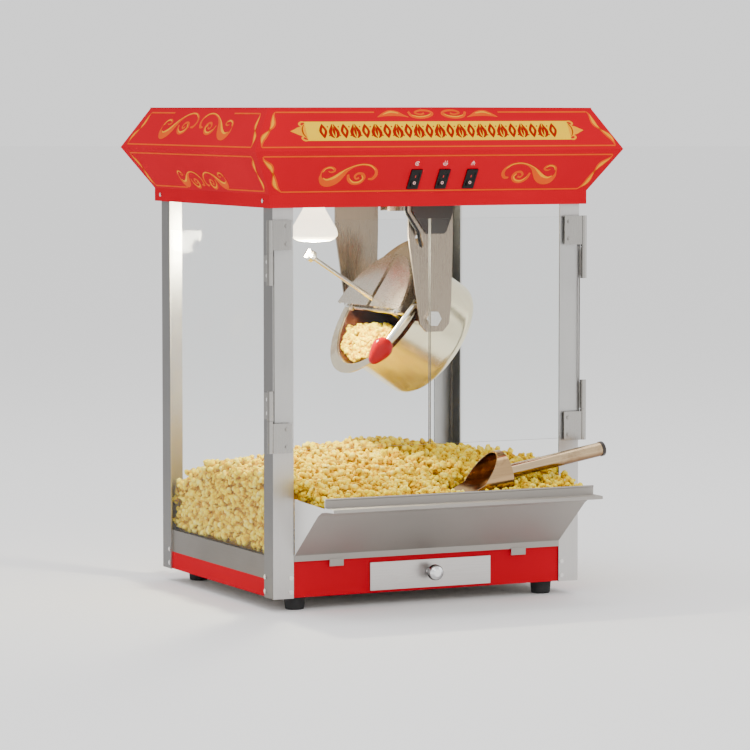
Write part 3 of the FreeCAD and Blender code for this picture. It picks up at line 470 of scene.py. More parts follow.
def dress_tray_and_scoop():
    # The tray's faces that look sideways along X are painted white: a painted highlight.
    dress(metal("tray_aluminium", "A8A39D", (0.5, 0.66), ALONG_TRAY, 1000, 0.16, 0.06, 0.95,
                painted_side_shading="FFFFFF"),
          "serving_tray")
    scoop = metal("scoop_aluminium", "CBB08A", (0.1, 0.26), ALONG_SCOOP, 500, 0.14, 0.1,
                  stain=("5E3010", 24.0, 0.6))
    shine = scoop.base_colour()
    # Painted shade: the handle turns dark brown on its faces that look down.
    under = scoop.span(scoop.facing("Z"), 0.85, 0.0, -0.75, 0.1)
    scoop.set("Base Color", scoop.mix(under, shine, rgba("5A3012")))
    dress(scoop, "scoop_handle")
    dress(metal("scoop_bowl_metal", "B8966C", (0.08, 0.24), ALONG_SCOOP, 500, 0.14, 0.1,
                stain=("3E1E0A", 26.0, 0.85)),
          "scoop_bowl")


def dress_lamp():
    paint = Paint("lamp_glass")
    creams = [(0.3, rgb("F6E9CF")), (0.7, rgb("FFF7E6"))]
    paint.set("Base Color", paint.ramp(paint.noise(60.0, 3.0), creams))
    paint.set("Roughness", 0.35)
    paint.set("Emission Color", (1.0, 0.9, 0.7, 1))
    paint.set("Emission Strength", 3.0)
    dress(paint, "lamp_bulb")


# ---- meshes --------------------------------------------------------------------
def new_piece(name, verts, faces, paint, body, attributes=None, smooth=True):
    data = bpy.data.meshes.new(name)
    data.from_pydata(np.asarray(verts, float).tolist(), [], np.asarray(faces).tolist())
    for key, values in (attributes or {}).items():
        layer = data.attributes.new(key, "FLOAT", "POINT")
        layer.data.foreach_set("value", np.asarray(values, np.float32))
    data.materials.append(paint.mat)
    data.polygons.foreach_set("use_smooth", [smooth] * len(data.polygons))
    data.update()
    obj = bpy.data.objects.new(name, data)
    bpy.context.scene.collection.objects.link(obj)
    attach(obj, body)
    return obj


def surface_of(node):
    data = NODES[node].data
    return BVHTree.FromPolygons([v.co for v in data.vertices], [p.vertices for p in data.polygons])


# ---- popcorn ---------------------------------------------------------------------
FLAKE_KINDS = 10


def unit_ball(level):
    bm = bmesh.new()
    bmesh.ops.create_icosphere(bm, subdivisions=level, radius=1.0)
    verts = np.array([v.co[:] for v in bm.verts])
    faces = np.array([[v.index for v in f.verts] for f in bm.faces])
    bm.free()
    return verts / np.linalg.norm(verts, axis=1)[:, None], faces


def random_direction(rng):
    direction = np.array([rng.gauss(0, 1) for _ in range(3)])
    return direction / np.linalg.norm(direction)


def make_flake(rng, rays):
    """A popped kernel: the outline of a cluster of small lobes round a core, in millimetres."""
    core = 4.6
    lobes = [(np.zeros(3), core)]
    for _ in range(rng.randint(8, 12)):
        direction = np.array([rng.gauss(0, 1) for _ in range(3)])
        direction[2] = direction[2] * 0.8 + 0.25
        direction /= np.linalg.norm(direction)
        lobes.append((direction * rng.uniform(3.6, 7.4), rng.uniform(2.3, 4.2)))
    for _ in range(16):
        centre, radius = lobes[rng.randrange(1, len(lobes))]
        step = random_direction(rng)
        lobes.append((centre + step * radius * 0.8, radius * rng.uniform(0.32, 0.55)))
    best = np.zeros(len(rays))
    second = np.zeros(len(rays))
    for centre, radius in lobes:
        along = rays @ centre
        inside = radius * radius - centre @ centre + along * along
        reach = np.where(inside > 0, along + np.sqrt(np.clip(inside, 0, None)), 0.0)
        second = np.maximum(second, np.minimum(best, reach))
        best = np.maximum(best, reach)
    crease = np.clip((best - second) / 2.2, 0, 1)
    shift = Vector((rng.uniform(-9, 9), rng.uniform(-9, 9), rng.uniform(-9, 9)))
    best = best + np.array([0.9 * noise.noise(Vector(r) * 3.5 + shift) for r in rays])
    # Painted shade: tone is low in the hollows near the core and in the creases between lobes, where
    # the colour ramps turn dark brown.
    tone = np.clip((best - core) / 6.2, 0, 1) * 0.7 + crease * 0.3
    heart = random_direction(rng)
    hull = np.clip((rays @ heart - 0.9) / 0.07, 0, 1) * rng.choice((0.0, 0.35, 0.8))
    return rays * best[:, None], tone, hull


class Corn:
    """Gathers popped kernels into one mesh."""

    def __init__(self, seed, level=3):
        self.rng = random.Random(seed)
        rays, self.faces = unit_ball(level)
        self.kinds = [make_flake(self.rng, rays) for _ in range(FLAKE_KINDS)]
        self.verts, self.tones, self.hulls, self.tints = [], [], [], []

    def drop(self, centre, size, low=None, high=None, tint=None):
        """One kernel about centre, in cabinet millimetres, pushed inside low and high."""
        rng = self.rng
        points, tone, hull = self.kinds[rng.randrange(FLAKE_KINDS)]
        turn = Matrix.Rotation(rng.uniform(0, math.tau), 3, "Z")
        turn = turn @ Matrix.Rotation(rng.uniform(0, math.tau), 3, "X")
        turn = np.array(turn @ Matrix.Rotation(rng.uniform(0, math.tau), 3, "Y"))
        squashed = points * size * np.array([1, 1, rng.uniform(0.85, 1.0)])
        kernel = squashed @ turn.T + np.array(centre, float)
        if low is not None:
            kernel += np.clip(np.array(low) - kernel.min(0), 0, None)
        if high is not None:
            kernel -= np.clip(kernel.max(0) - np.array(high), 0, None)
        self.verts.append(kernel)
        self.tones.append(tone)
        self.hulls.append(hull)
        self.tints.append(np.full(len(tone), rng.uniform(0, 1) if tint is None else tint))

    def finish(self, name, paint, body, *replaced):
        count = len(self.verts[0])
        faces = np.concatenate([self.faces + i * count for i in range(len(self.verts))])
        verts = np.concatenate(self.verts) * MM + np.array([0, Y0, Z0])
        values = {"tone": np.concatenate(self.tones), "hull": np.concatenate(self.hulls),
                  "tint": np.concatenate(self.tints)}
        obj = new_piece(name, verts, faces, paint, body, values)
        if replaced:
            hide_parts(*replaced)


def first_hit(tree, start, way):
    """Height in cabinet millimetres of a surface met straight up or down from start, or None."""
    hit = tree.ray_cast(start, Vector((0, 0, way)))[0]
    return None if hit is None else (hit.z - Z0) / MM


def top_of(tree, x, y):
    return first_hit(tree, at(x, y, ABOVE_ALL), -1)


def underside(tree, x, y):
    return first_hit(tree, at(x, y, BELOW_ALL), 1)


def extent(node):
    """A node's box in cabinet millimetres: x from and to, y from and to, lowest z."""
    low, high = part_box(node)
    return low.x / MM, high.x / MM, (low.y - Y0) / MM, (high.y - Y0) / MM, (low.z - Z0) / MM


def grid(rng, low, high, pitch, spread=0.0):
    """Places from low to high about a pitch apart, each moved by up to spread of a step.

    The draws are made even with no spread, because what is drawn after them follows from them."""
    count = max(1, round((high - low) / pitch))
    step = (high - low) / count
    return [low + (i + 0.5) * step + rng.uniform(-spread, spread) * step for i in range(count)]


def third_of(x, x0, x1):
    return min(2, int((x - x0) / (x1 - x0) * 3))


ABOVE_ALL, BELOW_ALL = 900, -5
THIRDS = ("left", "middle", "right")
# Layers of kernels under a heap's surface: the pitch between kernels and the layer's depth.
HEAP_LAYERS = ((14.0, 5.5), (15.0, 15.0))
HEAP_CEILING = 400
# Kernels along the heap's walls: how far in they stand, and their pitch along the wall and up it.
WALL_INSET, WALL_PITCH, WALL_RISE = 9.0, 13.0, 12.0
# The lump under the heap's kernels: its depth, its inset, its grid, and its tone and tint; its
# darker tone is painted shade in the gaps between kernels.
CORE_DEPTH, CORE_INSET, CORE_GRID, CORE_SHADE_TONE, CORE_TINT = 19, 10, (40, 34), 0.22, 0.3


def heap_popcorn(paint):
    tree = surface_of("popcorn_heap")
    x0, x1, y0, y1, floor = extent("popcorn_heap")
    limits = dict(low=(x0, y0, floor), high=(x1, y1, HEAP_CEILING))

    thirds = [Corn(11), Corn(12), Corn(13)]
    rng = random.Random(5)
    for pitch, depth in HEAP_LAYERS:
        for x in grid(rng, x0 + 4, x1 - 4, pitch):
            for y in grid(rng, y0 + 4, y1 - 4, pitch):
                px = x + rng.uniform(-0.42, 0.42) * pitch
                py = y + rng.uniform(-0.42, 0.42) * pitch
                top = top_of(tree, min(max(px, x0 + 1), x1 - 1), min(max(py, y0 + 1), y1 - 1))
                size = rng.uniform(0.72, 1.06)
                spot = (px, py, top - depth + rng.uniform(-3.5, 4.5))
                thirds[third_of(x, x0, x1)].drop(spot, size, **limits)
    thirds[0].finish("popcorn_heap_left", paint, "cabinet", "popcorn_heap")
    for place, corn in zip(THIRDS[1:], thirds[1:]):
        corn.finish("popcorn_heap_" + place, paint, "cabinet")

    sides, front, back = Corn(21), Corn(22), Corn(23)
    for fixed in (x0 + WALL_INSET, x1 - WALL_INSET):
        for y in grid(rng, y0 + 5, y1 - 5, WALL_PITCH):
            for z in grid(rng, floor + 3, top_of(tree, fixed, y) - 7, WALL_RISE):
                spot = (fixed + rng.uniform(-1.5, 1.5), y + rng.uniform(-5, 5), z + rng.uniform(-4, 4))
                sides.drop(spot, rng.uniform(0.75, 1.05), **limits)
    for wall, fixed in ((front, y0 + WALL_INSET), (back, y1 - WALL_INSET)):
        for x in grid(rng, x0 + 14, x1 - 14, WALL_PITCH):
            for z in grid(rng, floor + 3, top_of(tree, x, fixed) - 7, WALL_RISE):
                spot = (x + rng.uniform(-5, 5), fixed + rng.uniform(-1.5, 1.5), z + rng.uniform(-4, 4))
                wall.drop(spot, rng.uniform(0.75, 1.05), **limits)
    sides.finish("popcorn_heap_sides", paint, "cabinet")
    front.finish("popcorn_heap_front", paint, "cabinet")
    back.finish("popcorn_heap_back", paint, "cabinet")

    nx, ny = CORE_GRID
    spots = [(x, y) for y in np.linspace(y0 + CORE_INSET, y1 - CORE_INSET, ny)
             for x in np.linspace(x0 + CORE_INSET, x1 - CORE_INSET, nx)]
    verts = [at(x, y, top_of(tree, x, y) - CORE_DEPTH + rng.uniform(-3, 3)) for x, y in spots]
    verts += [at(x, y, floor + 1) for x, y in spots]
    below = nx * ny
    faces = []
    for j in range(ny - 1):
        for i in range(nx - 1):
            a = j * nx + i
            faces.append([a, a + 1, a + nx + 1, a + nx])
            b = a + below
            faces.append([b, b + nx, b + nx + 1, b + 1])
    loop = list(range(nx)) + [j * nx + nx - 1 for j in range(1, ny)]
    loop += [(ny - 1) * nx + i for i in range(nx - 2, -1, -1)] + [j * nx for j in range(ny - 2, 0, -1)]
    for a, b in zip(loop, loop[1:] + loop[:1]):
        faces.append([b, a, a + below, b + below])
    # The core takes a darker tone: painted shade seen through the gaps between kernels.
    values = {"tone": CORE_SHADE_TONE, "hull": 0.0, "tint": CORE_TINT}
    new_piece("popcorn_heap_core", verts, faces, paint, "cabinet",
              {key: [value] * len(verts) for key, value in values.items()})


def clear_of(trees, spot, radius):
    """Whether a kernel is this far, in millimetres, from some solids and has none of them below."""
    point = at(*spot)
    for tree in trees:
        near = tree.find_nearest(point)[3] < radius * MM
        if near or tree.ray_cast(point, Vector((0, 0, -1)))[0] is not None:
            return False
    return True


# Layers in the tray, given as in HEAP_LAYERS. The last lies on its floor, and those between the
# first and the last stop short of it.
TRAY_LAYERS = ((12.0, 5.5), (13.0, 15.0), (13.0, 25.0), (13.0, 36.0), (11.0, 90.0))
TRAY_LOW_Z, TRAY_HIGH_Z = 50, 172
TOP_SIZES, UNDER_SIZES = (0.7, 0.98), (0.6, 0.85)
# Half a kernel's height and its reach, in millimetres for a kernel of size 1.
KERNEL_HALF, KERNEL_REACH = 5.5, 8.5


def tray_popcorn(paint):
    tree = surface_of("tray_popcorn")
    x0, x1, y0, y1, _ = extent("tray_popcorn")
    depths = np.linspace(y0 + 0.3, y1 - 0.3, 60)
    base = np.array([underside(tree, x0 + 3, y) for y in depths])
    crest = np.array([top_of(tree, x0 + 3, y) for y in depths])
    scoop = [surface_of("scoop_bowl"), surface_of("scoop_handle")]
    thirds, under = [Corn(31, 4), Corn(32, 4), Corn(33, 4)], Corn(34)
    rng = random.Random(7)
    limits = dict(low=(x0 - 1.0, y0 + 1.0, TRAY_LOW_Z), high=(x1 + 1.0, y1, TRAY_HIGH_Z))
    for layer, (pitch, depth) in enumerate(TRAY_LAYERS):
        on_top, on_floor = layer == 0, layer == len(TRAY_LAYERS) - 1
        for x in grid(rng, x0 + 3, x1 - 3, pitch):
            for y in grid(rng, y0 + 5, y1 - 3, pitch):
                px = min(max(x + rng.uniform(-0.4, 0.4) * pitch, x0 + 1), x1 - 1)
                py = min(max(y + rng.uniform(-0.4, 0.4) * pitch, y0 + 4), y1 - 1)
                size = rng.uniform(*(TOP_SIZES if on_top else UNDER_SIZES))
                top = float(np.interp(py, depths, crest))
                floor = float(np.interp(py, depths, base))
                height = top - depth + rng.uniform(-2.0, 3.0)
                if not on_top and not on_floor and height < floor + 5 * size:
                    continue
                spot = (px, py, max(height, floor + KERNEL_HALF * size))
                if not clear_of(scoop, spot, KERNEL_REACH * size):
                    continue
                pile = thirds[third_of(px, x0, x1)] if on_top else under
                pile.drop(spot, size, **limits)
                kernel = pile.verts[-1]
                kernel[:, 2] = np.maximum(kernel[:, 2], np.interp(kernel[:, 1], depths, base) + 0.2)
    under.finish("tray_popcorn_under", paint, "tray")
    thirds[0].finish("tray_popcorn_left", paint, "tray", "tray_popcorn")
    for place, corn in zip(THIRDS[1:], thirds[1:]):
        corn.finish("tray_popcorn_" + place, paint, "tray")


POT_RADIUS, POT_CONE_FROM, POT_CONE_SLOPE = 77.5, 8.6, 0.896
# The batch's lowest and highest places along the pot's axis, and its kernels' gap to the wall.
BATCH_LOW, BATCH_HIGH, BATCH_GAP = -12.0, 21.5, 0.6


def pot_wall(height):
    """Inner radius of the pot at a height along its axis: straight, then a cone up to the rim."""
    return POT_RADIUS + np.maximum(0.0, height - POT_CONE_FROM) * POT_CONE_SLOPE


def kettle_popcorn(paint):
    """A batch resting on the low side of the tipped kettle, clear of its shaft and blade."""
    pivot = np.array(KETTLE_PIVOT)
    across = np.array(KETTLE_ACROSS)
    axis = np.array(KETTLE_AXIS)
    corn = Corn(41)
    rng = random.Random(9)
    for w in np.arange(-12, 19, 6.0):
        for y in np.arange(-80, 81, 8.8):
            for u in np.arange(-82, -16, 8.2):
                pu, py, pw = (value + rng.uniform(-3, 3) for value in (u, y, w))
                pw = max(pw, BATCH_LOW)
                reach = math.hypot(pu, py)
                room = pot_wall(pw) - 7.0
                surface = -24 - 0.65 * pw + 5 * math.sin(py / 19)
                if pu > surface or reach > room + 5:
                    continue
                pu, py = (value * min(1.0, room / reach) for value in (pu, py))
                spot = pivot + across * pu + axis * pw + np.array([0, py, 0])
                corn.drop(spot, rng.uniform(0.6, 0.78), tint=rng.uniform(0, 0.3))
                kernel = corn.verts[-1]
                kernel -= axis * max(0.0, ((kernel - pivot) @ axis).max() - BATCH_HIGH)
                local = kernel - pivot
                heights = local @ axis
                outward = local - np.outer(heights, axis)
                radii = np.linalg.norm(outward, axis=1)
                kept = np.minimum(1.0, (pot_wall(heights) - BATCH_GAP) / radii)
                kernel -= outward * (1 - kept)[:, None]
    corn.finish("kettle_popcorn", paint, "kettle")


# ---- canopy ornament ---------------------------------------------------------------
# How far each layer of print stands over the sheet, in millimetres.
PRINT_LIFT, FIELD_LIFT, GILT_LIFT, MARK_LIFT, CREASE_LIFT, EYE_LIFT = 0.2, 0.25, 0.32, 0.42, 0.45, 0.6
ROCKER_LIFT = 0.12
# The finest stroke's half width, and how deep a stroke's underside lies in the sheet.
FINEST, SUNK = 0.08, -0.2
PROBE_FROM = 0.02


class Face:
    """A sloping face of the canopy: u runs along it from its middle, v up the slope, both in mm."""

    def __init__(self, node, origin, along, up):
        self.tree = surface_of(node)
        self.origin = origin
        self.along = along.normalized()
        self.up = up.normalized()
        self.normal = self.along.cross(self.up)

    def put(self, u, v, lift):
        flat = self.origin + self.along * (u * MM) + self.up * (v * MM)
        hit = self.tree.ray_cast(flat + self.normal * PROBE_FROM, -self.normal)[0]
        return (hit if hit is not None else flat) + self.normal * (lift * MM)


def smooth_path(points, steps=8):
    """Catmull-Rom line through points of any width."""
    points = np.array(points, float)
    padded = np.vstack([2 * points[0] - points[1], points, 2 * points[-1] - points[-2]])
    out = []
    for a, b, c, d in zip(padded, padded[1:], padded[2:], padded[3:]):
        for k in range(steps):
            t = k / steps
            out.append(0.5 * (2 * b + (c - a) * t + (2 * a - 5 * b + 4 * c - d) * t * t
                              + (3 * b - a - 3 * c + d) * t ** 3))
    out.append(points[-1])
    return np.array(out)


class Transfer:
    """Printed strokes gathered into one thin mesh on the faces they lie on."""

    def __init__(self):
        self.verts, self.faces = [], []

    def stroke(self, face, points, lift=PRINT_LIFT, curved=True):
        """A ribbon along points (u, v, half width)."""
        line = smooth_path(points) if curved else np.array(points, float)
        step = np.gradient(line[:, :2], axis=0)
        step /= np.maximum(np.linalg.norm(step, axis=1), 1e-9)[:, None]
        side = np.stack([-step[:, 1], step[:, 0]], axis=1)
        start = len(self.verts)
        for (u, v, half), (su, sv) in zip(line, side):
            half = max(half, FINEST)
            for sign, height in ((1, lift), (-1, lift), (-1, SUNK), (1, SUNK)):
                self.verts.append(face.put(u + su * half * sign, v + sv * half * sign, height)[:])
        count = len(line)
        for i in range(count - 1):
            a = start + 4 * i
            for k in range(4):
                self.faces.append([a + k, a + 4 + k, a + 4 + (k + 1) % 4, a + (k + 1) % 4])
        self.faces.append([start, start + 1, start + 2, start + 3])
        end = start + 4 * (count - 1)
        self.faces.append([end + 3, end + 2, end + 1, end])

    def finish(self, name, paint, body="cabinet", slot="red_enamel"):
        new_piece(name, self.verts, self.faces, paint, body, smooth=False)


def placed(points, u0, v0=0.0, side=1, turn=1):
    """A stroke's points (u, v, half width) moved to u0, v0, mirrored where side or turn is -1."""
    return [(u0 + side * u, v0 + turn * v, half) for u, v, half in points]


FLOURISH_BODY = [
    [(3, 19, 0.6), (3.5, 12, 2.2), (9, 5.5, 4.5), (17, 5, 6.0), (25, 10, 6.6), (32, 18, 4.8),
     (38, 24, 2.5), (47, 29.5, 1.5), (58, 31.5, 1.3), (69, 29.5, 1.5), (76.5, 23.5, 1.9),
     (78.5, 16.5, 2.3), (75, 10.5, 2.2), (69, 10, 1.2)],
    [(3, 19, 0.8), (5, 24.5, 1.3), (11, 27.5, 1.6), (18, 26.5, 1.7), (20.5, 22.5, 1.5),
     (16, 20.5, 1.1), (12, 22, 0.6)],
    [(40, 17, 1.4), (43, 9, 2.3), (50, 4.2, 2.6), (58.5, 5, 2.5), (63, 11, 2.2), (60.5, 17, 1.9),
     (54, 18.5, 1.7), (50, 14.5, 1.5), (52.5, 10.5, 1.3), (56.5, 11.8, 1.6)],
]
FLOURISH_GOLD = [
    [(7, 12, 0.3), (13, 9.5, 1.2), (22, 13, 1.8), (30, 20, 1.3), (36, 25, 0.6), (47, 30, 0.5),
     (58, 32, 0.6), (68, 30, 0.6), (75.5, 24, 0.5)],
    [(5, 21, 0.3), (8, 26, 0.6), (14, 27.6, 0.7), (18.5, 25, 0.4)],
    [(43, 11, 0.3), (50, 5.2, 0.9), (58, 6.2, 1.0), (61.6, 11, 0.8), (59, 15.6, 0.5)],
]
# Over the banner: a leaf and a curl on each side of the middle, with their gilding.
CREST_LEAF = [(0, 47.8, 0.5), (8, 51, 2.4), (18, 53.4, 4.2), (28, 52.6, 3.6), (36, 50, 1.6),
              (43, 47.6, 0.5)]
CREST_LEAF_GOLD = [(8, 51.4, 0.3), (19, 55, 1.1), (30, 53.4, 0.6)]
CREST_CURL = [(44, 55.6, 1.6), (48, 49.4, 2.0), (58, 47.2, 2.0), (69, 48.4, 2.0), (77, 52.4, 1.8),
              (72, 56.6, 1.5), (60, 57.2, 1.4), (53, 54, 1.3), (60, 51.6, 1.2), (66, 53.2, 1.4)]
CREST_CURL_GOLD = [(48, 50.6, 0.4), (58, 48.2, 0.8), (69, 49.6, 0.7), (75, 52.6, 0.4)]


def flourish(face, body, gold, place, side=1, scale=(1, 1), lean=0.0):
    """A leaf with a curl and a spiral, its box's lower outer corner at place."""
    for target, strokes, lift in ((body, FLOURISH_BODY, PRINT_LIFT), (gold, FLOURISH_GOLD, GILT_LIFT)):
        for points in strokes:
            moved = []
            for x, y, half in points:
                sx = x * scale[0]
                moved.append((place[0] + side * sx, place[1] + y * scale[1] + lean * sx,
                              half * min(scale)))
            target.stroke(face, moved, lift)


STRIPE_HALF, STRIPE_STEP = 1.0, 12
# A mitre's two leaves: where along it each runs and to which side it swings, its half widths,
# and how far it bows out.
MITRE_LEAVES = ((0.0, 0.56, 1.0), (0.44, 1.0, -1.0))
MITRE_WIDTHS = (0.7, 1.6, 3.0, 3.6, 2.8, 1.5, 0.6)
MITRE_BOWS = (0.0, 1.2, 2.0, 1.6, 0.4, -0.8, -0.6)
MITRE_BOW_SCALE = 1.3


def outline(face, body, gold, low, high, half_low, half_high, gap=None, gap_at="top"):
    """Pinstripes along a face's foot and head, and pairs of leaves down its mitres."""
    for v, half, where in ((low, half_low, "foot"), (high, half_high, "top")):
        if gap and gap_at == where:
            pieces = ((-half, gap[0]), (gap[1], half))
        else:
            pieces = ((-half, half),)
        for start, end in pieces:
            count = max(2, round(abs(end - start) / STRIPE_STEP))
            stripe = [(start + (end - start) * i / count, v, STRIPE_HALF) for i in range(count + 1)]
            body.stroke(face, stripe, curved=False)
    for side in (-1, 1):
        a = np.array([side * half_low, low])
        b = np.array([side * half_high, high])
        along = (b - a) / np.linalg.norm(b - a)
        out = np.array([along[1], -along[0]]) * side
        for first, last, swing in MITRE_LEAVES:
            steps = np.linspace(first, last, len(MITRE_WIDTHS))
            line = [(*(a + (b - a) * t + out * swing * bow * MITRE_BOW_SCALE), half)
                    for t, bow, half in zip(steps, MITRE_BOWS, MITRE_WIDTHS)]
            body.stroke(face, line)
            glow = [(*(np.array(point[:2]) + out * 0.5), max(0.2, point[2] - 1.7))
                    for point in line[1:-1]]
            gold.stroke(face, glow, GILT_LIFT)


BANNER_MIDDLE, BANNER_HALF = 27.8, 13.6
BANNER_ENDS = (-182, 185)
BANNER_POINT = [(-3, 0, 12.6), (3, 0, 9.0), (7, 0, 6.5), (11, 0, 5.2), (16, 0, 2.6), (21, 0, 0.3)]
BANNER_CURL = [(-2, 12.5, 0.7), (4, 13, 1.2), (7.5, 10, 1.3), (5, 7.5, 1.0)]
BANNER_CREASE = [(1.5, 9, 0.3), (4.5, 4, 0.7), (5, 0, 0.8)]
MARK_FIRST, MARK_PITCH, MARK_COUNT = 1.5, 14.6, 23
LOZENGE = [(0, 17.4, 0.2), (0, 20.5, 2.4), (0, 24.0, 4.3), (0, 27.8, 5.4), (0, 31.6, 4.3),
           (0, 35, 2.4), (0, 38.2, 0.2)]
LOZENGE_EYE = [(0, 23.2, 0.1), (0, 25.5, 1.1), (0, 27.8, 1.7), (0, 30, 1.1), (0, 32.4, 0.1)]
SIDE_LEAF = [(0.8, 17.8, 0.4), (4.2, 21.5, 1.9), (5.0, 26.5, 2.3), (3.2, 31, 1.9), (0.8, 37.6, 0.4)]
MIDDLE_LEAF = [(0, 20, 0.2), (0, 24, 1.3), (0, 27.5, 1.7), (0, 31, 1.1), (0, 34, 0.2)]
DOT = [(-1.1, 0, 0.2), (0, 0, 1.1), (1.1, 0, 0.2)]
DOT_HEIGHTS = (21.5, 34.0)


def banner(face, field, trim, marks):
    """The yellow ribbon with its pointed ends, and a row of lozenges and leaves along it."""
    ribbon = [(u, BANNER_MIDDLE, BANNER_HALF) for u in np.linspace(*BANNER_ENDS, 40)]
    field.stroke(face, ribbon, FIELD_LIFT, False)
    for side, edge in zip((-1, 1), BANNER_ENDS):
        trim.stroke(face, placed(BANNER_POINT, edge, BANNER_MIDDLE, side))
        for turn in (-1, 1):
            trim.stroke(face, placed(BANNER_CURL, edge, BANNER_MIDDLE, side, turn))
            marks.stroke(face, placed(BANNER_CREASE, edge, BANNER_MIDDLE, side, turn), CREASE_LIFT)
    for i in range(MARK_COUNT):
        u = MARK_FIRST + (i - (MARK_COUNT - 1) / 2) * MARK_PITCH
        if i % 2 == 0:
            marks.stroke(face, placed(LOZENGE, u), MARK_LIFT)
            field.stroke(face, placed(LOZENGE_EYE, u), EYE_LIFT)
        else:
            for side in (-1, 1):
                marks.stroke(face, placed(SIDE_LEAF, u, side=side), MARK_LIFT)
            marks.stroke(face, placed(MIDDLE_LEAF, u), MARK_LIFT)
        if i < MARK_COUNT - 1:
            for v in DOT_HEIGHTS:
                marks.stroke(face, placed(DOT, u + MARK_PITCH / 2, v), MARK_LIFT)


def ring(centre, radius, half, turn=1.0, start=0.0):
    steps = np.linspace(start, start + turn * math.tau, 13)
    return [(centre[0] + radius * math.cos(t), centre[1] + radius * math.sin(t), half) for t in steps]


def middle_of(node):
    """The middle of a node's width, in millimetres."""
    low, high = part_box(node)
    return (low.x + high.x) / 2 / MM


SIGN_LEFT, SIGN_HEIGHT = 1.5, 44.0
BOWL_RIM = [(-3.1, 0.2, 0.5), (0, 0.2, 0.5), (3.1, 0.2, 0.5)]
STEAM = [(0, 1.6, 0.35), (0.6, 2.6, 0.35), (0, 3.8, 0.35)]
LAMP_SHADE = [(0, 3.2, 0.5), (0, 1.2, 1.4), (0, -0.6, 3.0)]


def pictograms(face, white):
    """Plain signs over the three switches: a turning ring, a bowl with steam, and a shaded lamp."""
    v = SIGN_HEIGHT
    u = middle_of("motor_rocker") - SIGN_LEFT
    white.stroke(face, ring((u, v), 2.7, 0.5, 0.8, 0.6))
    white.stroke(face, ring((u, v), 0.7, 0.6))
    u = middle_of("kettle_rocker") - SIGN_LEFT
    white.stroke(face, ring((u, v), 2.8, 0.6, 0.5, math.pi))
    white.stroke(face, placed(BOWL_RIM, u, v))
    for shift in (-1.4, 1.4):
        white.stroke(face, placed(STEAM, u + shift, v))
    u = middle_of("lamp_rocker") - SIGN_LEFT
    white.stroke(face, placed(LAMP_SHADE, u, v), curved=False)
    for shift in (-2.4, 0.0, 2.4):
        white.stroke(face, placed([(shift * 0.8, -1.6, 0.35), (shift, -3.2, 0.35)], u, v), curved=False)


RING_HEIGHT, BAR_HEIGHTS = 16.6, (23.6, 26.8)


def rocker_marks(face, paint, reddish):
    """A bar and a ring moulded on each rocker."""
    for switch in ("motor", "kettle", "lamp"):
        node, body = switch + "_rocker", switch + "_switch"
        u = middle_of(node)
        spot = Face(node, face.origin, face.along, face.up)
        ring_mark, bar_mark = Transfer(), Transfer()
        ring_mark.stroke(spot, ring((u, RING_HEIGHT), 1.5, 0.42), ROCKER_LIFT)
        bar_mark.stroke(spot, [(u, v, 0.5) for v in BAR_HEIGHTS], ROCKER_LIFT, False)
        ring_mark.finish(node + "_ring", paint, body, "switch_black")
        bar_mark.finish(node + "_bar", reddish, body, "switch_black")


def printed(name, code, vary=0.06):
    """Printed ink, as matt as the enamel round it."""
    paint = Paint(name)
    cloud = paint.noise(55.0, 3.0)
    paint.set("Base Color", paint.tones(cloud, rgb(code), 1 - vary, 1 + vary))
    paint.set("Roughness", paint.span(cloud, 0.35, 0.5))
    paint.set_dull_coat()
    paint.bump(paint.noise(500.0, 2.0), 0.05, 0.0002)
    return paint


def canopy_faces(node, x, y, inward, along):
    """A canopy panel's lower and upper face, from the middle of its ridge, in metres."""
    folds = []
    for height, out in (CANOPY_LIP, CANOPY_RIDGE, CANOPY_HEAD):
        step = (CANOPY_RIDGE[1] - out) * MM
        folds.append(Vector((x + inward[0] * step, y + inward[1] * step, Z0 + height * MM)))
    lip, ridge, head = folds
    return Face(node, lip, Vector(along), ridge - lip), Face(node, ridge, Vector(along), head - ridge)


CREST_GAP = (-83, 90)


def print_front(lower, upper, body, glow, wide):
    outline(upper, body, glow, 5.2, 54.8, wide - 10, wide - 40, CREST_GAP, "top")
    outline(lower, body, glow, 3.2, 55.6, wide - 49, wide - 13)
    flourish(lower, body, glow, (-163, 11.5))
    flourish(lower, body, glow, (172, 11.5), -1)
    for side, place in ((1, -80), (-1, 88)):
        body.stroke(upper, placed(CREST_LEAF, place, side=side))
        glow.stroke(upper, placed(CREST_LEAF_GOLD, place, side=side), GILT_LIFT)
        body.stroke(upper, placed(CREST_CURL, place, side=side))
        glow.stroke(upper, placed(CREST_CURL_GOLD, place, side=side), GILT_LIFT)


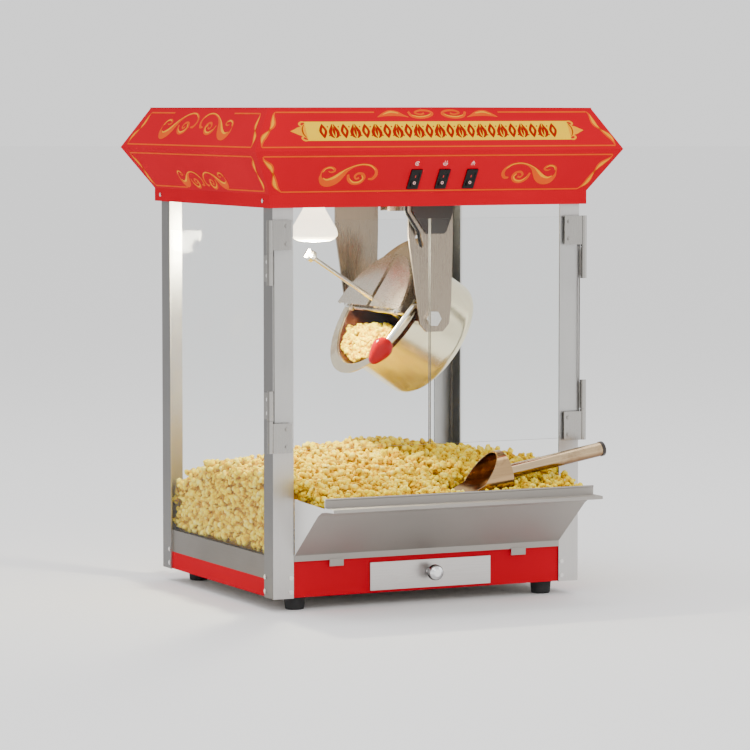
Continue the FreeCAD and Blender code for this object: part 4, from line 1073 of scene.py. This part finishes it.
def print_side(lower, upper, body, glow, wide):
    outline(upper, body, glow, 5.2, 53.0, wide - 18, wide - 46, (-97, 97), "top")
    outline(lower, body, glow, 4.2, 55.6, wide - 46, wide - 22, (-68, 60), "foot")
    flourish(upper, body, glow, (-119, 13), 1, (1.42, 1.0), 0.09)
    flourish(upper, body, glow, (117, 13), -1, (1.42, 1.0), 0.09)
    flourish(lower, body, glow, (-79, 6.5), 1, (0.95, 0.86), -0.09)
    flourish(lower, body, glow, (77, 6.5), -1, (0.95, 0.86), -0.09)


def print_rear(lower, upper, body, glow, wide):
    outline(upper, body, glow, 5.2, 54.8, wide - 10, wide - 40)
    outline(lower, body, glow, 3.2, 55.6, wide - 49, wide - 13)


def canopy_ornament():
    left_x, front_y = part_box("canopy_front")[0][:2]
    back_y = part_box("canopy_rear")[1].y
    middle_y = (front_y + back_y) / 2
    half = -left_x / MM
    deep = (back_y - front_y) / 2 / MM
    front = canopy_faces("canopy_front", 0, front_y, (0, 1), (1, 0, 0))
    left = canopy_faces("canopy_left", left_x, middle_y, (1, 0), (0, -1, 0))
    right = canopy_faces("canopy_right", -left_x, middle_y, (-1, 0), (0, 1, 0))
    rear = canopy_faces("canopy_rear", 0, back_y, (0, -1), (-1, 0, 0))

    orange = printed("print_orange", "D8500C")
    gold = printed("print_gold", "E89A00")
    yellow = printed("print_yellow", "F0C000", 0.03)
    brown = printed("print_brown", "9A1408")
    white = printed("print_white", "E9B4AE")

    for name, faces, wide, print_panel in (("front", front, half, print_front),
                                           ("left", left, deep, print_side),
                                           ("right", right, deep, print_side),
                                           ("rear", rear, half, print_rear)):
        body, glow = Transfer(), Transfer()
        print_panel(*faces, body, glow, wide)
        body.finish("canopy_print_" + name, orange)
        glow.finish("canopy_gilding_" + name, gold)
    lower, upper = front
    field, trim, marks, signs = Transfer(), Transfer(), Transfer(), Transfer()
    banner(upper, field, trim, marks)
    field.finish("banner_field", yellow)
    trim.finish("banner_ends", gold)
    marks.finish("banner_ornament", brown)
    pictograms(lower, signs)
    signs.finish("switch_signs", white)
    rocker_marks(lower, white, printed("mark_red", "D8403A"))


# ---- run ---------------------------------------------------------------------------
add_camera()
add_studio()
dress_cabinet()
dress_kettle()
dress_tray_and_scoop()
dress_lamp()
corn_paint = popped_corn()
heap_popcorn(corn_paint)
tray_popcorn(corn_paint)
kettle_popcorn(corn_paint)
canopy_ornament()
